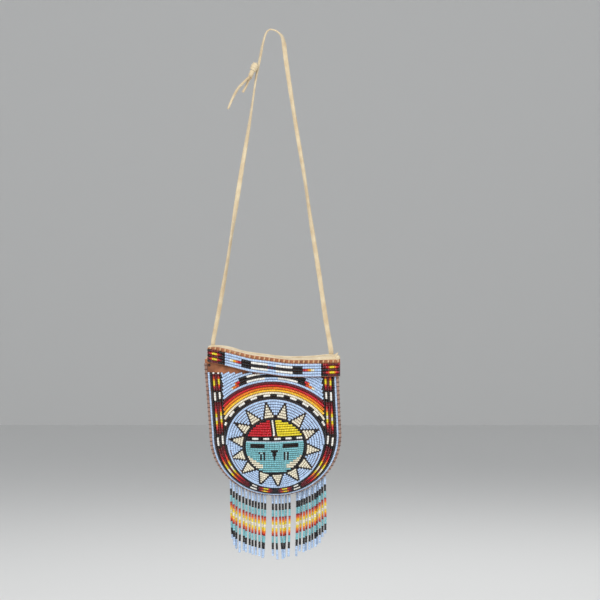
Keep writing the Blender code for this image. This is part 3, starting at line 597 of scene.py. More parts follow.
def binding_ring(rim, grip, inner):
    """The strip's section at one place: over the front lip, round the edge and over the back."""
    (rim_x, rim_z), (inner_x, inner_z) = place(*rim), place(*inner)
    front_y = front_leather(*grip).y - BINDING_GAP
    back_y = back_leather(*grip) + SKIN + BINDING_GAP
    out = front_normal(*inner)
    lip = front_leather(*inner) + out * 0.0003
    top = lip + out * BINDING_WALL
    back_lip = Vector((inner_x, back_leather(*inner) + SKIN + BINDING_GAP, inner_z))
    back_top = back_lip + Vector((0, BINDING_WALL, 0))

    def edge(y, inwards=0.0):
        return Vector((rim_x + (inner_x - rim_x) * inwards, y, rim_z + (inner_z - rim_z) * inwards))

    return [
        lip,
        top,
        (top + edge(front_y - 0.0002)) / 2 - Vector((0, 0.00025, 0)),
        edge(front_y, 0.12),
        edge((front_y + back_y) / 2),
        edge(back_y, 0.12),
        (back_top + edge(back_y)) / 2 + Vector((0, 0.0004, 0)),
        back_top,
        back_lip,
        edge(back_y - 0.0003, 0.6),
        edge(front_y + 0.0003, 0.6),
    ]


binding_lines = [inset_outline(inset, BINDING_TOP) for inset in (0.0, PANEL_INSET, BINDING_LIP)]
strip_leather = leather("binding_leather", (176, 142, 126), (128, 94, 80), 0.7, 1200, 120, 0.4, 0.15)
bm = bmesh.new()
skin(bm, [[bm.verts.new(point) for point in binding_ring(*places)] for places in zip(*binding_lines)])
edge_strip = finished("edge_strip", bm, strip_leather)
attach(edge_strip, "pouch")
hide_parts("edge_binding")


def thread_material(name, light, dark):
    """Twisted thread or sinew: fine streaks of two tones, with a slight gloss."""
    made, tree, shader = new_material(name, {"Roughness": 0.55})
    where = add_node(tree, "ShaderNodeTexCoord")
    streaks = add_node(tree, "ShaderNodeTexNoise", {"Scale": 2600.0})
    tones = add_node(tree, "ShaderNodeMix", {"A": linear(*dark), "B": linear(*light)}, data_type="RGBA")
    relief = add_node(tree, "ShaderNodeBump", {"Strength": 0.4, "Distance": 0.0002})
    wire(
        tree,
        (where, "Object", streaks, "Vector"),
        (streaks, "Fac", tones, "Factor"),
        (tones, "Result", shader, "Base Color"),
        (streaks, "Fac", relief, "Height"),
        (relief, "Normal", shader, "Normal"),
    )
    return made


def stitches(name, runs, radius, finish, body, sides=6):
    """Short runs of thread, each a closed tube through its points."""
    bm = bmesh.new()
    for points in runs:
        rings = []
        last = len(points) - 1
        for i, point in enumerate(points):
            along = (points[min(i + 1, last)] - points[max(i - 1, 0)]).normalized()
            side = along.orthogonal().normalized()
            other = along.cross(side)
            ring = []
            for k in range(sides):
                angle = 2 * math.pi * k / sides
                around = side * math.cos(angle) + other * math.sin(angle)
                ring.append(bm.verts.new(point + around * radius))
            if rings:
                ahead = min(range(sides), key=lambda n: (ring[n].co - rings[-1][0].co).length)
                ring = ring[ahead:] + ring[:ahead]
            rings.append(ring)
        skin(bm, rings)
    ob = finished(name, bm, finish)
    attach(ob, body)
    return ob


STITCH_PITCH = 0.0038


def on_line(line, at):
    """The place on a line that walk gives, and the number of the point before it."""
    i = min(int(at), len(line) - 2)
    return tuple(mix(a, b, at - i) for a, b in zip(line[i], line[i + 1])), i


edge_points = []
for x, z in (place(u, v) for u, v in binding_lines[0]):
    edge_points.append(Vector((x, 0, z)))
whips = []
for at, _ in walk(edge_points, STITCH_PITCH)[0]:
    ring = binding_ring(*(on_line(line, at)[0] for line in binding_lines))
    i = on_line(edge_points, at)[1]
    along = (edge_points[i + 1] - edge_points[i]).normalized()
    middle = sum(ring, Vector()) / len(ring)
    run = []
    for k in (1, 2, 3, 4, 5, 6, 7):
        away = (ring[k] - middle).normalized() * 0.0001
        run.append(ring[k] + away + along * 0.0006 * (k / 7 - 0.5))
    whips.append(run)
sinew = thread_material("dark_sinew", (96, 62, 46), (48, 28, 20))
binding_whips = stitches("binding_whips", whips, 0.00036, sinew, "pouch")


# The beads: small round glass seed beads, each with its hole along the thread. Rows of them are
# sewn down side by side, so the colours change bead by bead.
BEAD_LENGTH = 0.0015
BEAD_WIDTH = 0.0021
BEAD_HEIGHT = 0.0011  # the bead's middle over the leather
GLASS = {
    "light_blue": (186, 210, 240),
    "turquoise": (130, 194, 202),
    "pale_blue": (206, 222, 236),
    "pale_turquoise": (166, 208, 212),
    "red": (204, 30, 44),
    "deep_red": (150, 22, 34),
    "maroon": (98, 18, 32),
    "orange_red": (214, 74, 40),
    "orange": (236, 130, 30),
    "gold": (248, 196, 52),
    "yellow": (236, 216, 44),
    "cream": (238, 230, 206),
    "white": (246, 244, 236),
    "black": (16, 15, 20),
}
deselect()
bpy.ops.mesh.primitive_torus_add(
    major_segments=8, minor_segments=5, major_radius=0.34, minor_radius=0.16, rotation=(0, math.pi / 2, 0)
)
pattern_bead = bpy.context.object
bpy.ops.object.transform_apply(location=False, rotation=True, scale=False)
bead_points = np.array([v.co for v in pattern_bead.data.vertices])
bead_points[:, 0] *= 1.0 / (bead_points[:, 0].max() - bead_points[:, 0].min())
bead_points[:, 1:] *= 1.0 / (bead_points[:, 1].max() - bead_points[:, 1].min())
bead_faces = np.array([tuple(f.vertices) for f in pattern_bead.data.polygons])
bpy.data.objects.remove(pattern_bead, do_unlink=True)

glass, tree, shader = new_material(
    "seed_bead_glass",
    {"Roughness": 0.22, "Specular IOR Level": 0.5, "Coat Weight": 0.3, "Coat Roughness": 0.1},
)
glass_colour = add_node(tree, "ShaderNodeAttribute", attribute_name="glass_colour")
glass_place = add_node(tree, "ShaderNodeTexCoord")
glass_cloud = add_node(tree, "ShaderNodeTexNoise", {"Scale": 700})
glass_tone = add_node(tree, "ShaderNodeMapRange", {"To Min": 0.82, "To Max": 1.12})
glass_mix = add_node(tree, "ShaderNodeVectorMath", operation="SCALE")
wire(
    tree,
    (glass_place, "Object", glass_cloud, "Vector"),
    (glass_cloud, "Fac", glass_tone, "Value"),
    (glass_colour, "Color", glass_mix, "Vector"),
    (glass_tone, "Result", glass_mix, "Scale"),
    (glass_mix, "Vector", shader, "Base Color"),
)


def sew_beads(name, beads, body, slot, *nodes_replaced, seed=1):
    """One mesh of beads. Each has its middle, the thread's direction, the way out, its glass, width
    and length."""
    vary = random.Random(seed)
    points, colours = [], []
    for middle, along, out, colour, width, length in beads:
        along = (along + Vector([vary.uniform(-0.05, 0.05) for _ in range(3)])).normalized()
        side = out.cross(along).normalized()
        length *= vary.uniform(0.88, 1.0)
        across = width * vary.uniform(0.95, 1.03)
        tall = min(BEAD_WIDTH, width * 1.3) * vary.uniform(0.96, 1.02)
        frame_of = np.array((along * length, side * across, along.cross(side) * tall))
        points.append(bead_points @ frame_of + np.array(middle))
        tone = vary.uniform(0.88, 1.08)
        red, green, blue, _ = linear(*GLASS[colour])
        colours += [(red * tone, green * tone, blue * tone, 1.0)] * len(bead_points)
    first_points = np.arange(len(beads)) * len(bead_points)
    faces = (bead_faces[None, :, :] + first_points[:, None, None]).reshape(-1, 4)
    mesh = bpy.data.meshes.new(name)
    mesh.from_pydata(np.concatenate(points).tolist(), [], faces.tolist())
    tint = mesh.attributes.new("glass_colour", "FLOAT_COLOR", "POINT")
    tint.data.foreach_set("color", np.ravel(colours))
    mesh.materials.append(glass)
    ob = placed(name, mesh)
    shade_smooth(ob)
    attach(ob, body)
    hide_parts(*nodes_replaced)


def front_bead(points, i, u, v, colour, width, length=BEAD_LENGTH):
    """A bead of a row on the front, after point i of the row's line."""
    out = front_normal(u, v)
    along = (points[i + 1] - points[i]).normalized()
    return front_leather(u, v) + out * BEAD_HEIGHT, along, out, colour, width, length


def row_on_front(line, colour_of, width_of):
    """A row of beads along (u, v) points of the front. colour_of gets the bead's way from the
    row's middle, u and v, and may leave the bead out."""
    points = [front_leather(u, v) for u, v in line]
    places, total = walk(points, BEAD_LENGTH)
    beads = []
    for at, gone in places:
        (u, v), i = on_line(line, at)
        colour = colour_of(gone - total / 2, u, v)
        if colour:
            beads.append(front_bead(points, i, u, v, colour, width_of(u, v)))
    return beads


def picked_row(line, colour_of, width_of):
    """A row on the front whose beads are picked to fit: each stretch of one colour is filled with
    whole beads, a little shorter or longer, so that figures keep straight edges."""
    points = [front_leather(u, v) for u, v in line]
    places, total = walk(points, 0.0001)
    marks = [on_line(line, at) for at, _ in places]
    stretches = []
    for number, ((u, v), _) in enumerate(marks):
        colour = colour_of(0.0, u, v)
        if stretches and stretches[-1][1] == colour:
            stretches.pop()
        stretches.append((number + 1, colour))
    beads, start = [], 0
    for end, colour in stretches:
        room = (end - start) * total / len(marks)
        count = round(room / BEAD_LENGTH)
        if count == 0:
            continue
        length = min(max(room / count, 0.8 * BEAD_LENGTH), 1.25 * BEAD_LENGTH)
        for k in range(count if colour else 0):
            (u, v), i = marks[int(mix(start, end, (k + 0.5) / count))]
            beads.append(front_bead(points, i, u, v, colour, width_of(u, v), length))
        start = end
    return beads


def always(value):
    """One colour or width for every bead of a row."""
    return lambda *_: value


# The border: six rows that follow the outline, the outer one light blue. The other five make
# plumes in fire colours on black and dark red, with white quills between them.
BEADS_TOP = FRONT_TOP - 0.0117
BORDER_LANES = 5
PLUMES = (  # distance from the bottom's middle in mm, and what starts there
    (0.0, "gap"), (2.4, "plume"), (14.8, "gap"), (16.2, "quill"), (22.0, "gap"),
    (24.0, "plume"), (67.0, "gap"), (69.0, "quill"), (76.2, "gap"), (79.0, "plume"),
    (107.5, "gap"), (109.5, "quill"), (116.4, "gap"), (117.6, "plume"), (133.2, "quill"),
    (140.0, "quill"),
)
FIRE = (
    (0.12, "maroon"), (0.20, "deep_red"), (0.25, "red"), (0.30, "orange_red"),
    (0.36, "orange"), (0.64, "yellow"), (0.70, "orange"), (0.75, "orange_red"),
    (0.80, "red"), (0.88, "deep_red"), (1.01, "maroon"),
)


def first_past(bands, place_at, beyond):
    """The colour of the first band that ends past a place."""
    return next((colour for end, colour in bands if place_at < end), beyond)


def fire(share, hot="yellow"):
    """The colour of a plume at a share of its length, brightest in its middle."""
    colour = first_past(FIRE, share, "maroon")
    return hot if colour == "yellow" else colour


def border_colour(lane, full_length):
    def colour(way, u, v):
        if lane in (0, BORDER_LANES - 1):
            return "black"
        distance = abs(way) / (full_length / 2) * BORDER_HALF_WAY
        start, kind, end = 0.0, "gap", 0.0
        for (here, what), (after, _) in zip(PLUMES, PLUMES[1:]):
            if here <= distance < after:
                start, kind, end = here, what, after
        if lane == 2:
            return "maroon" if kind == "plume" else "black"
        if kind == "plume":
            share = (distance - start) / (end - start)
            return fire(share, "cream" if end - start > 20 and 0.45 < share < 0.55 else "yellow")
        return "white" if kind == "quill" else "black"

    return colour


def lane_width(u, v):
    """Rows lie closer together where the bottom rolls away."""
    _, share = from_edge(u, v)
    return mix(BEAD_WIDTH, BEAD_WIDTH * 0.82, share if v < 0 else 0.0)


BORDER_HALF_WAY = 134.3  # mm, from the bottom's middle to a border's end
border_beads = []
for lane in range(BORDER_LANES):
    line = inset_outline(BORDER_START + (lane + 1) * BORDER_LANE, BEADS_TOP)
    length = route_length([front_leather(u, v) for u, v in line])
    border_beads += row_on_front(line, border_colour(lane, length), lane_width)
sew_beads("border_rows", border_beads, "pouch", "maroon_beads", "border_lanes", seed=21)
edge_beads = row_on_front(inset_outline(BORDER_START, BEADS_TOP), always("light_blue"), lane_width)
sew_beads("edge_row", edge_beads, "pouch", "light_blue_beads", "edge_lane", seed=22)


# The arcs over the sun: a black ring, a black and white checker row, and five rainbow rows from
# cream to dark red. Light blue rows carry on up to the corners, with a feather pair in three.
RING_HALF_WIDTH = 0.0452
RING_HALF_HEIGHT = 0.0408
SUN_HEIGHT = -0.0078
LANE_ACROSS = 0.0025
LANE_UP = 0.0022
FIELD_LIMIT = HALF_WIDTH - BORDER_START - 5.5 * BORDER_LANE + 0.0002
RAINBOW = ("cream", "gold", "orange", "red", "maroon")
FIELD_ROWS = 20
CHECKER_BEADS = 4
CHECKER_SHIFT = 0.65
FEATHER = (  # by row, the lowest first: how far out from the middle each colour reaches
    (
        (0.0060, "light_blue"), (0.0220, "white"), (0.0293, "black"), (0.0318, "orange_red"),
        (0.0345, "orange"), (0.0365, "cream"),
    ),
    ((0.0293, "black"), (0.0312, "red"), (0.0325, "orange")),
    ((0.0100, "light_blue"), (0.0220, "white"), (0.0293, "black")),
)


def ellipse(middle, half_width, half_height, first, last, steps):
    """(u, v) points along an ellipse, from one angle to another."""
    line = []
    for i in range(steps + 1):
        angle = mix(first, last, i / steps)
        line.append((middle[0] + half_width * math.cos(angle), middle[1] + half_height * math.sin(angle)))
    return line


def arc_line(number):
    half_width, half_height = RING_HALF_WIDTH + number * LANE_ACROSS, RING_HALF_HEIGHT + number * LANE_UP
    return ellipse((0.0, SUN_HEIGHT), half_width, half_height, math.pi, 0.0, 240)


def inside_field(u, v, more=0.0):
    return abs(u) < FIELD_LIMIT + more and v < BEADS_TOP - 0.0004


def arc_width(u, v):
    """The rows over the sun lie closer together than those beside it."""
    return mix(LANE_UP, LANE_ACROSS, min((u / RING_HALF_WIDTH) ** 2, 1.0))


def checker(way, u, v):
    if not inside_field(u, v):
        return None
    block = math.floor(way / (BEAD_LENGTH * CHECKER_BEADS) + CHECKER_SHIFT)
    return "black" if block % 2 == 0 else "white"


def feather(row):
    return lambda way, u, v: first_past(FEATHER[row], abs(u), "light_blue") if inside_field(u, v) else None


def plain_row(colour, more=0.0):
    return lambda way, u, v: colour if inside_field(u, v, more) else None


arc_beads = []
for number, rule in enumerate([plain_row("black", 0.0010), checker, *map(plain_row, RAINBOW)]):
    arc_beads += row_on_front(arc_line(number), rule, arc_width)
sew_beads("rainbow_rows", arc_beads, "pouch", "gold_beads", "rainbow_lanes", "checker_ring", seed=23)
field_beads = []
for step in range(FIELD_ROWS):
    rule = feather(step - 1) if 1 <= step <= 3 else plain_row("light_blue")
    field_beads += row_on_front(arc_line(step + 2 + len(RAINBOW)), rule, arc_width)
sew_beads("sky_rows", field_beads, "pouch", "light_blue_beads", "upper_field", "upper_feathers", seed=24)


# The sun: rows between the ring and the face, light blue with cream rays outlined in black. The
# face has a red and a yellow brow, a checked band, black eyes, nose and mouth on turquoise.
FACE_HEIGHT = -0.0104
FACE_HALF_WIDTH = 0.0277
FACE_SHIFT = -0.0005  # the face's middle, beside the pouch's
FACE_HALF_HEIGHT = 0.0246
SUN_ROWS = 7
RAY_REACH = 0.0410
RAY_REACH_HIGH = 0.0380
RAY_HEIGHT = -0.0088
RAY_BASE = 0.0106
RAY_OUTLINE = 0.0014
RAY_DIRECTIONS = (99, 74, 46, 21, -5, -31, -55, -85, -111, -141, -165, -189, -211, -233)


def ray_sides(direction):
    """Base left, tip and base right of a ray, as 2-D points."""
    angle = math.radians(direction)
    aim = Vector((math.cos(angle), math.sin(angle)))
    middle = Vector((FACE_SHIFT, FACE_HEIGHT))
    near, far = 0.0, 0.06
    for _ in range(24):
        half = (near + far) / 2
        at = middle + aim * half
        if (at.x / RAY_REACH) ** 2 + ((at.y - RAY_HEIGHT) / RAY_REACH_HIGH) ** 2 < 1:
            near = half
        else:
            far = half
    base = 1 / math.hypot(aim.x / FACE_HALF_WIDTH, aim.y / FACE_HALF_HEIGHT)
    side = Vector((-aim.y, aim.x)) * RAY_BASE / 2
    foot = middle + aim * base
    return foot + side, middle + aim * near, foot - side


rays = [ray_sides(direction) for direction in RAY_DIRECTIONS]


def depth_in_ray(point):
    """How deep a place lies inside a ray: under zero is outside all of them."""
    best = -1.0
    for left, tip, right in rays:
        inner = []
        for a, b in ((left, tip), (tip, right), (right, left)):
            along = (b - a).normalized()
            away = point - a
            inner.append(along.y * away.x - along.x * away.y)
        inner[2] += BORDER_LANE
        inner.append((tip - point).dot((tip - (left + right) / 2).normalized()) + 0.0004)
        best = max(best, min(inner))
    return best


SUN_EDGE_TOP = -0.0088  # from here down the sun's outer row follows the border


def sun_colour(way, u, v):
    if abs(u) > FIELD_LIMIT:
        return None
    if v < 0:
        lanes = BORDER_LANES + (1.5 if v < SUN_EDGE_TOP else 0.5)
        inset = BORDER_START + lanes * BORDER_LANE - 0.0004
        drop = BOTTOM_DROP - PANEL_INSET - (inset - PANEL_INSET) * BOTTOM_SQUEEZE
        if v < bottom_at(u, HALF_WIDTH - inset, drop):
            return None
    depth = depth_in_ray(Vector((u, v)))
    if depth < -RAY_OUTLINE * 0.6:
        return "light_blue"
    return "black" if depth < RAY_OUTLINE * 0.4 else "cream"


def sun_edge_colour(way, u, v):
    return "light_blue" if sun_colour(way, u, v) else None


def sun_width(u, v):
    return mix(0.0023, 0.0018, min(max(-0.010 - v, 0.0) / 0.030, 1.0))


sun_rules = {1: sun_edge_colour, SUN_ROWS + 1: always("black")}
sun_beads = []
for step in range(1, SUN_ROWS + 2):
    share = step / (SUN_ROWS + 1)
    half_width = mix(RING_HALF_WIDTH, FACE_HALF_WIDTH, share)
    half_height = mix(RING_HALF_HEIGHT, FACE_HALF_HEIGHT, share)
    middle = (share * FACE_SHIFT, mix(SUN_HEIGHT, FACE_HEIGHT, share))
    line = ellipse(middle, half_width, half_height, -math.pi / 2, 1.5 * math.pi, 320)
    sun_beads += picked_row(line, sun_rules.get(step, sun_colour), sun_width)
inner_line = [(mix(FACE_SHIFT, u, 0.952), mix(FACE_HEIGHT, v, 0.945)) for u, v in line]
sun_beads += row_on_front(inner_line, always("black"), always(0.0012))
sun_edge = [(u, v) for u, v in inset_outline(BORDER_START + 6 * BORDER_LANE, 0.0) if v < SUN_EDGE_TOP]
sun_beads += row_on_front(sun_edge, always("light_blue"), lane_width)
sew_beads("sun_rows", sun_beads, "pouch", "cream_beads", "sun_rays", "sun_ground", seed=25)

FACE_SAG = 0.0011
FACE_TILT = 0.022
BROW_ROW = 0.00215
FACE_ROW = 0.0018
FACE_ROWS = (  # height, bead width, what the row shows
    *((-0.0001 + BROW_ROW * row, BROW_ROW, "brow") for row in range(7)),
    (-0.0016, 0.0011, "line"),
    (-0.0032, 0.0022, "dashes"),
    (-0.0048, 0.0014, "line"),
    (-0.0058, 0.0010, "pale"),
    *((-0.0069 - FACE_ROW * row, FACE_ROW, row) for row in range(15)),
)
DASH_PERIOD = 0.0099
DASH_START = -0.0206
DASH_LENGTH = 0.0054
NOSE_X = -0.00075
NOSE = {4: 0.0032, 5: 0.0017, 6: 0.0017, 7: 0.0008, 8: 0.0008}  # half width by row
EYES = ((-0.0223, -0.0095), (0.0066, 0.0206))
EYE_ROWS = (1, 2)
CHEEKS = (  # where the marks lie, in which rows
    (-0.01425, (5,)), (-0.01275, (6, 7, 8)), (-0.00975, (5, 6, 7, 8)), (0.00825, (5, 6, 7, 8)),
    (0.01125, (5, 6, 7, 8)),
)
MARK_HALF_WIDTH = 0.0007


def parting_at(v):
    """The white parting between the brow's two halves leans left as it rises."""
    return -0.0008 - 0.0012 * (v + 0.0015) / 0.015


def face_colour(kind, u, half):
    """The colour of a bead on the face, by what its row shows and its place across."""
    if kind == "dashes":
        return "white" if (u - DASH_START) % DASH_PERIOD < DASH_LENGTH else "black"
    if kind == "line":
        return "black"
    if kind == "pale":
        return "pale_blue"
    if kind in EYE_ROWS and any(left < u < right for left, right in EYES):
        return "black"
    if abs(u - NOSE_X) < NOSE.get(kind, 0.0):
        return "black"
    if any(kind in rows and abs(u - where) < MARK_HALF_WIDTH for where, rows in CHEEKS):
        return "black"
    if kind in (5, 6, 7, 8) and abs(u - 0.00975) < MARK_HALF_WIDTH:
        return "pale_turquoise"
    if kind == 5 and abs(u + 0.0120) < 0.0010:
        return "pale_turquoise"
    if kind >= 7 and abs(u - FACE_SHIFT) > max(half - 0.0018 * (kind - 6), 0.0105) and kind < 13:
        return "cream"
    return "turquoise"


def face_half(v):
    """Half width of the face inside its outline, at a height."""
    away = abs(v - FACE_HEIGHT) / (FACE_HALF_HEIGHT - 0.0006)
    return (FACE_HALF_WIDTH - 0.0012) * math.sqrt(max(1 - away**2, 0.0))


def face_row(first, last, level, steps=40):
    line = []
    for i in range(steps + 1):
        u = mix(first, last, i / steps)
        line.append((u, level + FACE_TILT * u - FACE_SAG * (0.5 - (u / FACE_HALF_WIDTH) ** 2)))
    return line


face_beads = []
for level, width, kind in FACE_ROWS:
    half = face_half(level)
    if kind == "brow":
        red = face_row(FACE_SHIFT - half, parting_at(level) - 0.0023, level)
        yellow = face_row(parting_at(level) + 0.0026, FACE_SHIFT + half, level)
        face_beads += row_on_front(red, always("red"), always(width))
        face_beads += row_on_front(yellow, always("yellow"), always(width))
        continue
    half -= 0.0006

    def face_rule(way, u, v):
        return face_colour(kind, u, half)

    line = face_row(FACE_SHIFT - half, FACE_SHIFT + half, level)
    face_beads += picked_row(line, face_rule, always(width))
for shift, width, colour in ((-0.0016, 0.0011, "black"), (0.0, 0.0019, "white"), (0.0017, 0.0015, "black")):
    line = [(parting_at(v) + shift, v) for v in (-0.0016, 0.003, 0.008, 0.0132)]
    face_beads += row_on_front(line, always(colour), always(width))
face_nodes = ("face_ground", "brow_red", "brow_yellow", "brow_bar", "left_eye", "right_eye", "mouth")
sew_beads("face_rows", face_beads, "pouch", "turquoise_beads", *face_nodes, seed=26)


# The flap: a buckskin fold that hangs over the mouth from the hem, with a brown leather band
# whip-stitched to it. Five rows of beads run along the band, a fire block at either end.
FLAP_LANE = 0.00236
FLAP_LANES = 5
FLAP_SKIN = 0.0012
FLAP_LOW = 0.0500
FLAP_MARGIN = 0.0031
FLAP_GAP = 0.0028  # from the front leather to the flap's inner face
FOLD_SETBACK = 0.0016
FLAP_FIRST = 0.014
FLAP_SAG = (
    (0.0, 0.0086), (0.14, 0.0120), (0.25, 0.0153), (0.34, 0.0179), (0.45, 0.0196),
    (0.62, 0.0221), (0.78, 0.0223), (1.0, 0.0218),
)


def lane_line(share):
    return -STRAP_DROP - through(FLAP_SAG, share)


def flap_point(share, z, height):
    """A point over the flap's inner face, straight out from it."""
    u = hem_x(share) - MIDDLE_X + SIDE_LEAN * FLAP_LOW
    return Vector((hem_x(share), -(front_depth(u, FLAP_LOW) + FLAP_GAP) - height, z))


def band_top(share):
    lanes_top = lane_line(share) + FLAP_LANES / 2 * FLAP_LANE
    return min(lanes_top + FLAP_MARGIN, hem_top(share) - FOLD_SETBACK)


def band_surface(s, t):
    share = mix(FLAP_FIRST, 1.0, (s + 1) / 2)
    low = lane_line(share) - (FLAP_LANES / 2 + 0.15) * FLAP_LANE
    return flap_point(share, mix(low, band_top(share), t), 0.0)


def fold_surface(s, t):
    share = mix(FLAP_FIRST / 2, 1.0, (s + 1) / 2)
    front_edge = flap_point(share, band_top(share) - 0.0012, FLAP_SKIN * 0.9)
    rear = HEM_Y - HEM_RADIUS - 0.0003 - FLAP_SKIN
    top = max(hem_top(share) - FOLD_SETBACK, front_edge.z + 0.001)
    turn = t * math.pi / 2
    y = mix(rear, front_edge.y, math.sin(turn) ** 0.8)
    return Vector((hem_x(share), y, mix(front_edge.z, top, math.cos(turn) ** 0.8)))


band = hide("flap_band", band_surface, 60, 6, FLAP_SKIN, brown_leather, "flap", "flap_leather", 0.00004, 9)
fold = hide("buckskin_fold", fold_surface, 80, 12, FLAP_SKIN, buckskin, None, "flap_fold", 0.00025, 13)
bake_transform(fold)

END_BLOCKS = (0.128, 0.150)  # shares of the flap's length, left and right
BLOCK_EDGE = 0.86
FLAP_FEATHERS = (-0.0290, -0.0205, 0.0170, 0.0256)  # where black begins and ends, left and right
FEATHER_TIP = ("deep_red", "red", "orange_red", "orange", "gold", "cream", "cream")
flap_beads = []


def flap_colour(row, share):
    """A flap bead's colour by its row, the top one first, and its share of the length."""
    block = END_BLOCKS[share >= 0.5]
    if share < block or share > 1 - block:
        local = min(share, 1 - share) / block
        if local > BLOCK_EDGE:
            return "black"
        if row in (1, 3):
            return fire(local / BLOCK_EDGE)
        return "maroon" if 0.2 < local < 0.66 else "deep_red" if row == 0 and share > 0.5 else "black"
    if row in (0, 4):
        return "light_blue"
    x = hem_x(share)
    left, inner_left, inner_right, right = FLAP_FEATHERS
    if left < x < inner_left or inner_right < x < right:
        return "black"
    if inner_left <= x <= inner_right:
        if row == 2:
            return "maroon" if -0.0060 < x < -0.0010 and int(x * 10000) % 2 else "black"
        return "light_blue" if -0.0058 < x < 0.0025 else "white"
    beyond = int((left - x if x < 0 else x - right) / BEAD_LENGTH)
    return FEATHER_TIP[beyond] if row == 2 and beyond < len(FEATHER_TIP) else "light_blue"


FLAP_STEPS = 120
for row in range(FLAP_LANES):
    points = []
    for i in range(FLAP_STEPS + 1):
        share = mix(FLAP_FIRST, 1.0, i / FLAP_STEPS)
        points.append(flap_point(share, lane_line(share) + (2 - row) * FLAP_LANE, FLAP_SKIN))
    for at, _ in walk(points, BEAD_LENGTH)[0]:
        middle, i = on_line(points, at)
        along = (points[i + 1] - points[i]).normalized()
        out = Vector((along.y, -along.x, 0)).normalized()
        colour = flap_colour(row, at / FLAP_STEPS)
        flap_beads.append((Vector(middle) + out * BEAD_HEIGHT, along, out, colour, FLAP_LANE, BEAD_LENGTH))
flap_nodes = ("flap_lanes", "flap_feathers", "left_end_block", "right_end_block")
sew_beads("flap_rows", flap_beads, "flap", "light_blue_beads", *flap_nodes, seed=27)
whips = []
FLAP_WHIPS = 27
for i in range(FLAP_WHIPS):
    share = mix(FLAP_FIRST, 1.0, (i + 0.5) / FLAP_WHIPS)
    low = flap_point(share, lane_line(share) + (FLAP_LANES / 2 + 0.05) * FLAP_LANE, FLAP_SKIN + 0.0002)
    high = flap_point(min(share + 0.004, 1), band_top(share) - 0.0003, FLAP_SKIN * 1.9)
    middle = low.lerp(high, 0.5) + Vector((0, -0.0006, 0))
    whips.append([low, middle, high])
pale_sinew = thread_material("pale_sinew", (226, 186, 140), (176, 128, 88))
flap_whips = stitches("flap_whips", whips, 0.00080, pale_sinew, "flap")
TORN_CORNER = (  # x, y and z of a torn scrap at the fold's right end, its middle first
    (0.0562, -0.0070, -0.2930), (0.0534, -0.0052, -0.2916), (0.0560, -0.0068, -0.2899),
    (0.0586, -0.0082, -0.2887), (0.0582, -0.0066, -0.2911), (0.0598, -0.0076, -0.2934),
    (0.0587, -0.0064, -0.2958), (0.0543, -0.0062, -0.2960),
)
bm = bmesh.new()
middle, *rim = [bm.verts.new(point) for point in TORN_CORNER]
for point, after in zip(rim, [*rim[1:], rim[0]]):
    bm.faces.new((middle, point, after))
scrap = finished("torn_corner", bm, buckskin, round_shape=False)
thicken(scrap, 0.0009, -1)
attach(scrap, "flap")


# The fringe: thirty strings of seed beads in three groups, each tied into the bottom seam. All
# have the same order of colours, with a fire plume in the middle.
STRAND_GROUPS = ((-0.0404, -0.0091, 12), (-0.0026, 0.0128, 6), (0.0194, 0.0446, 12))
STRAND_PITCH = 0.00147
STRAND_WIDTH = 0.0023
STRAND_BEADS = (36, 38, 39, 40, 38, 38, 38, 38, 38, 38, 39, 38, 37, 39, 39, 38, 38, 38)
STRAND_BEADS += (39, 38, 37, 38, 38, 38, 38, 38, 38, 38, 36, 35)
STRAND_LEANS = (18, 5, -8, -5, 6, -2, 4, 0, -3, 3, 4, -17, 5, 13, 30, 14, -20, -9)  # tenths of a mm
STRAND_LEANS += (-4, -30, -24, -12, -14, -2, 2, 7, -4, -4, -2, 3)
STRAND_COLOURS = [*["light_blue"] * 5, *["black"] * 4, *["turquoise"] * 4]
STRAND_COLOURS += ["deep_red", "orange_red", "orange", "gold", "yellow", "cream"]


def strand_colour(number):
    """The colours in order down to the plume's middle, the same again backwards, then light blue."""
    return STRAND_COLOURS[max(min(number, 2 * len(STRAND_COLOURS) - 1 - number), 0)]


fringe_beads, threads, number = [], [], 0
for first, last, count in STRAND_GROUPS:
    for i in range(count):
        u = mix(first, last, i / (count - 1))
        x, z = place(u, bottom_at(u))
        top = Vector((x, (0.00115 if number % 2 == 0 else -0.00115), z - 0.0003))
        lean = STRAND_LEANS[number] * 0.0001
        beads = STRAND_BEADS[number]
        number += 1
        points = []
        for k in range(beads + 1):
            share = k / beads
            sway = lean * share**1.3 + 0.0002 * math.sin(share * 5 + number)
            points.append(top + Vector((sway, 0, -k * STRAND_PITCH)))
        for k in range(beads):
            middle = (points[k] + points[k + 1]) / 2
            along = (points[k + 1] - points[k]).normalized()
            out = Vector((0, -1, 0))
            fringe_beads.append((middle, along, out, strand_colour(k), STRAND_WIDTH, BEAD_LENGTH))
        threads.append([top + Vector((0, 0, 0.0008)), *points[::7]])
strand_nodes = [f"fringe_strand_{n + 1:02d}" for n in range(number)]
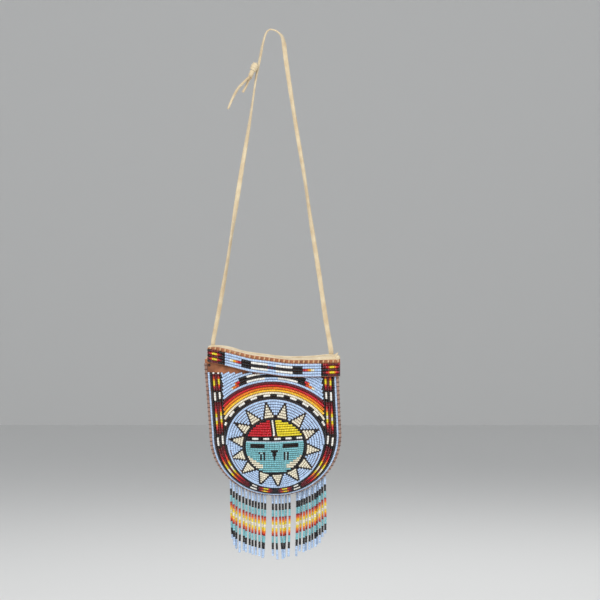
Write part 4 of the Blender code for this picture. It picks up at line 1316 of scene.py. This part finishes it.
sew_beads("fringe_beads", fringe_beads, "pouch", "light_blue_beads", *strand_nodes, seed=28)
cotton = thread_material("cotton_thread", (206, 200, 186), (160, 152, 138))
low_y = front_leather(0.0158, bottom_at(0.0158)).y - 0.0012
STRAY_THREAD = (  # x, way out from the bottom and z
    (0.0135, 0.0, -0.4166), (0.0158, 0.0008, -0.4178), (0.0186, 0.0010, -0.4172), (0.0214, 0.0004, -0.4158),
)
threads.append([Vector((x, low_y - out, z)) for x, out, z in STRAY_THREAD])
fringe_threads = stitches("fringe_threads", threads, 0.00026, cotton, "pouch", 5)


# The floor and backdrop are pale paper, lit by a large soft lamp in front, weaker ones from the
# side and behind, and a pale sky.
FLOOR_DROP = 0.62
deselect()
bpy.ops.mesh.primitive_plane_add(size=16, location=(0, 0, -FLOOR_DROP))
floor = bpy.context.object
floor.name = "floor"
bpy.ops.mesh.primitive_plane_add(size=16, location=(0, 4.0, 0), rotation=(math.radians(90), 0, 0))
wall = bpy.context.object
wall.name = "backdrop"
paper, _, _ = new_material("pale_paper", {"Base Color": (0.72, 0.72, 0.71, 1), "Roughness": 0.9})
for sheet in (floor, wall):
    sheet.data.materials.append(paper)

for name, where, size, power in (
    ("front_lamp", (-0.7, -1.5, 0.7), 1.1, 26.0),
    ("side_lamp", (1.4, -1.1, 0.1), 1.0, 9.0),
    ("back_lamp", (0.3, 1.1, 0.9), 0.8, 10.0),
):
    lamp_data = bpy.data.lights.new(name, "AREA")
    lamp_data.size = size
    lamp_data.energy = power
    lamp = placed(name, lamp_data)
    lamp.location = where
    aim = Vector((0, 0, -0.3)) - Vector(where)
    lamp.rotation_euler = aim.to_track_quat("-Z", "Y").to_euler()
sky = bpy.data.worlds.new("pale_sky")
sky.use_nodes = True
sky.node_tree.nodes["Background"].inputs["Color"].default_value = (0.95, 0.97, 1.0, 1)
sky.node_tree.nodes["Background"].inputs["Strength"].default_value = 0.55
bpy.context.scene.world = sky
bpy.context.scene.view_settings.view_transform = "Standard"
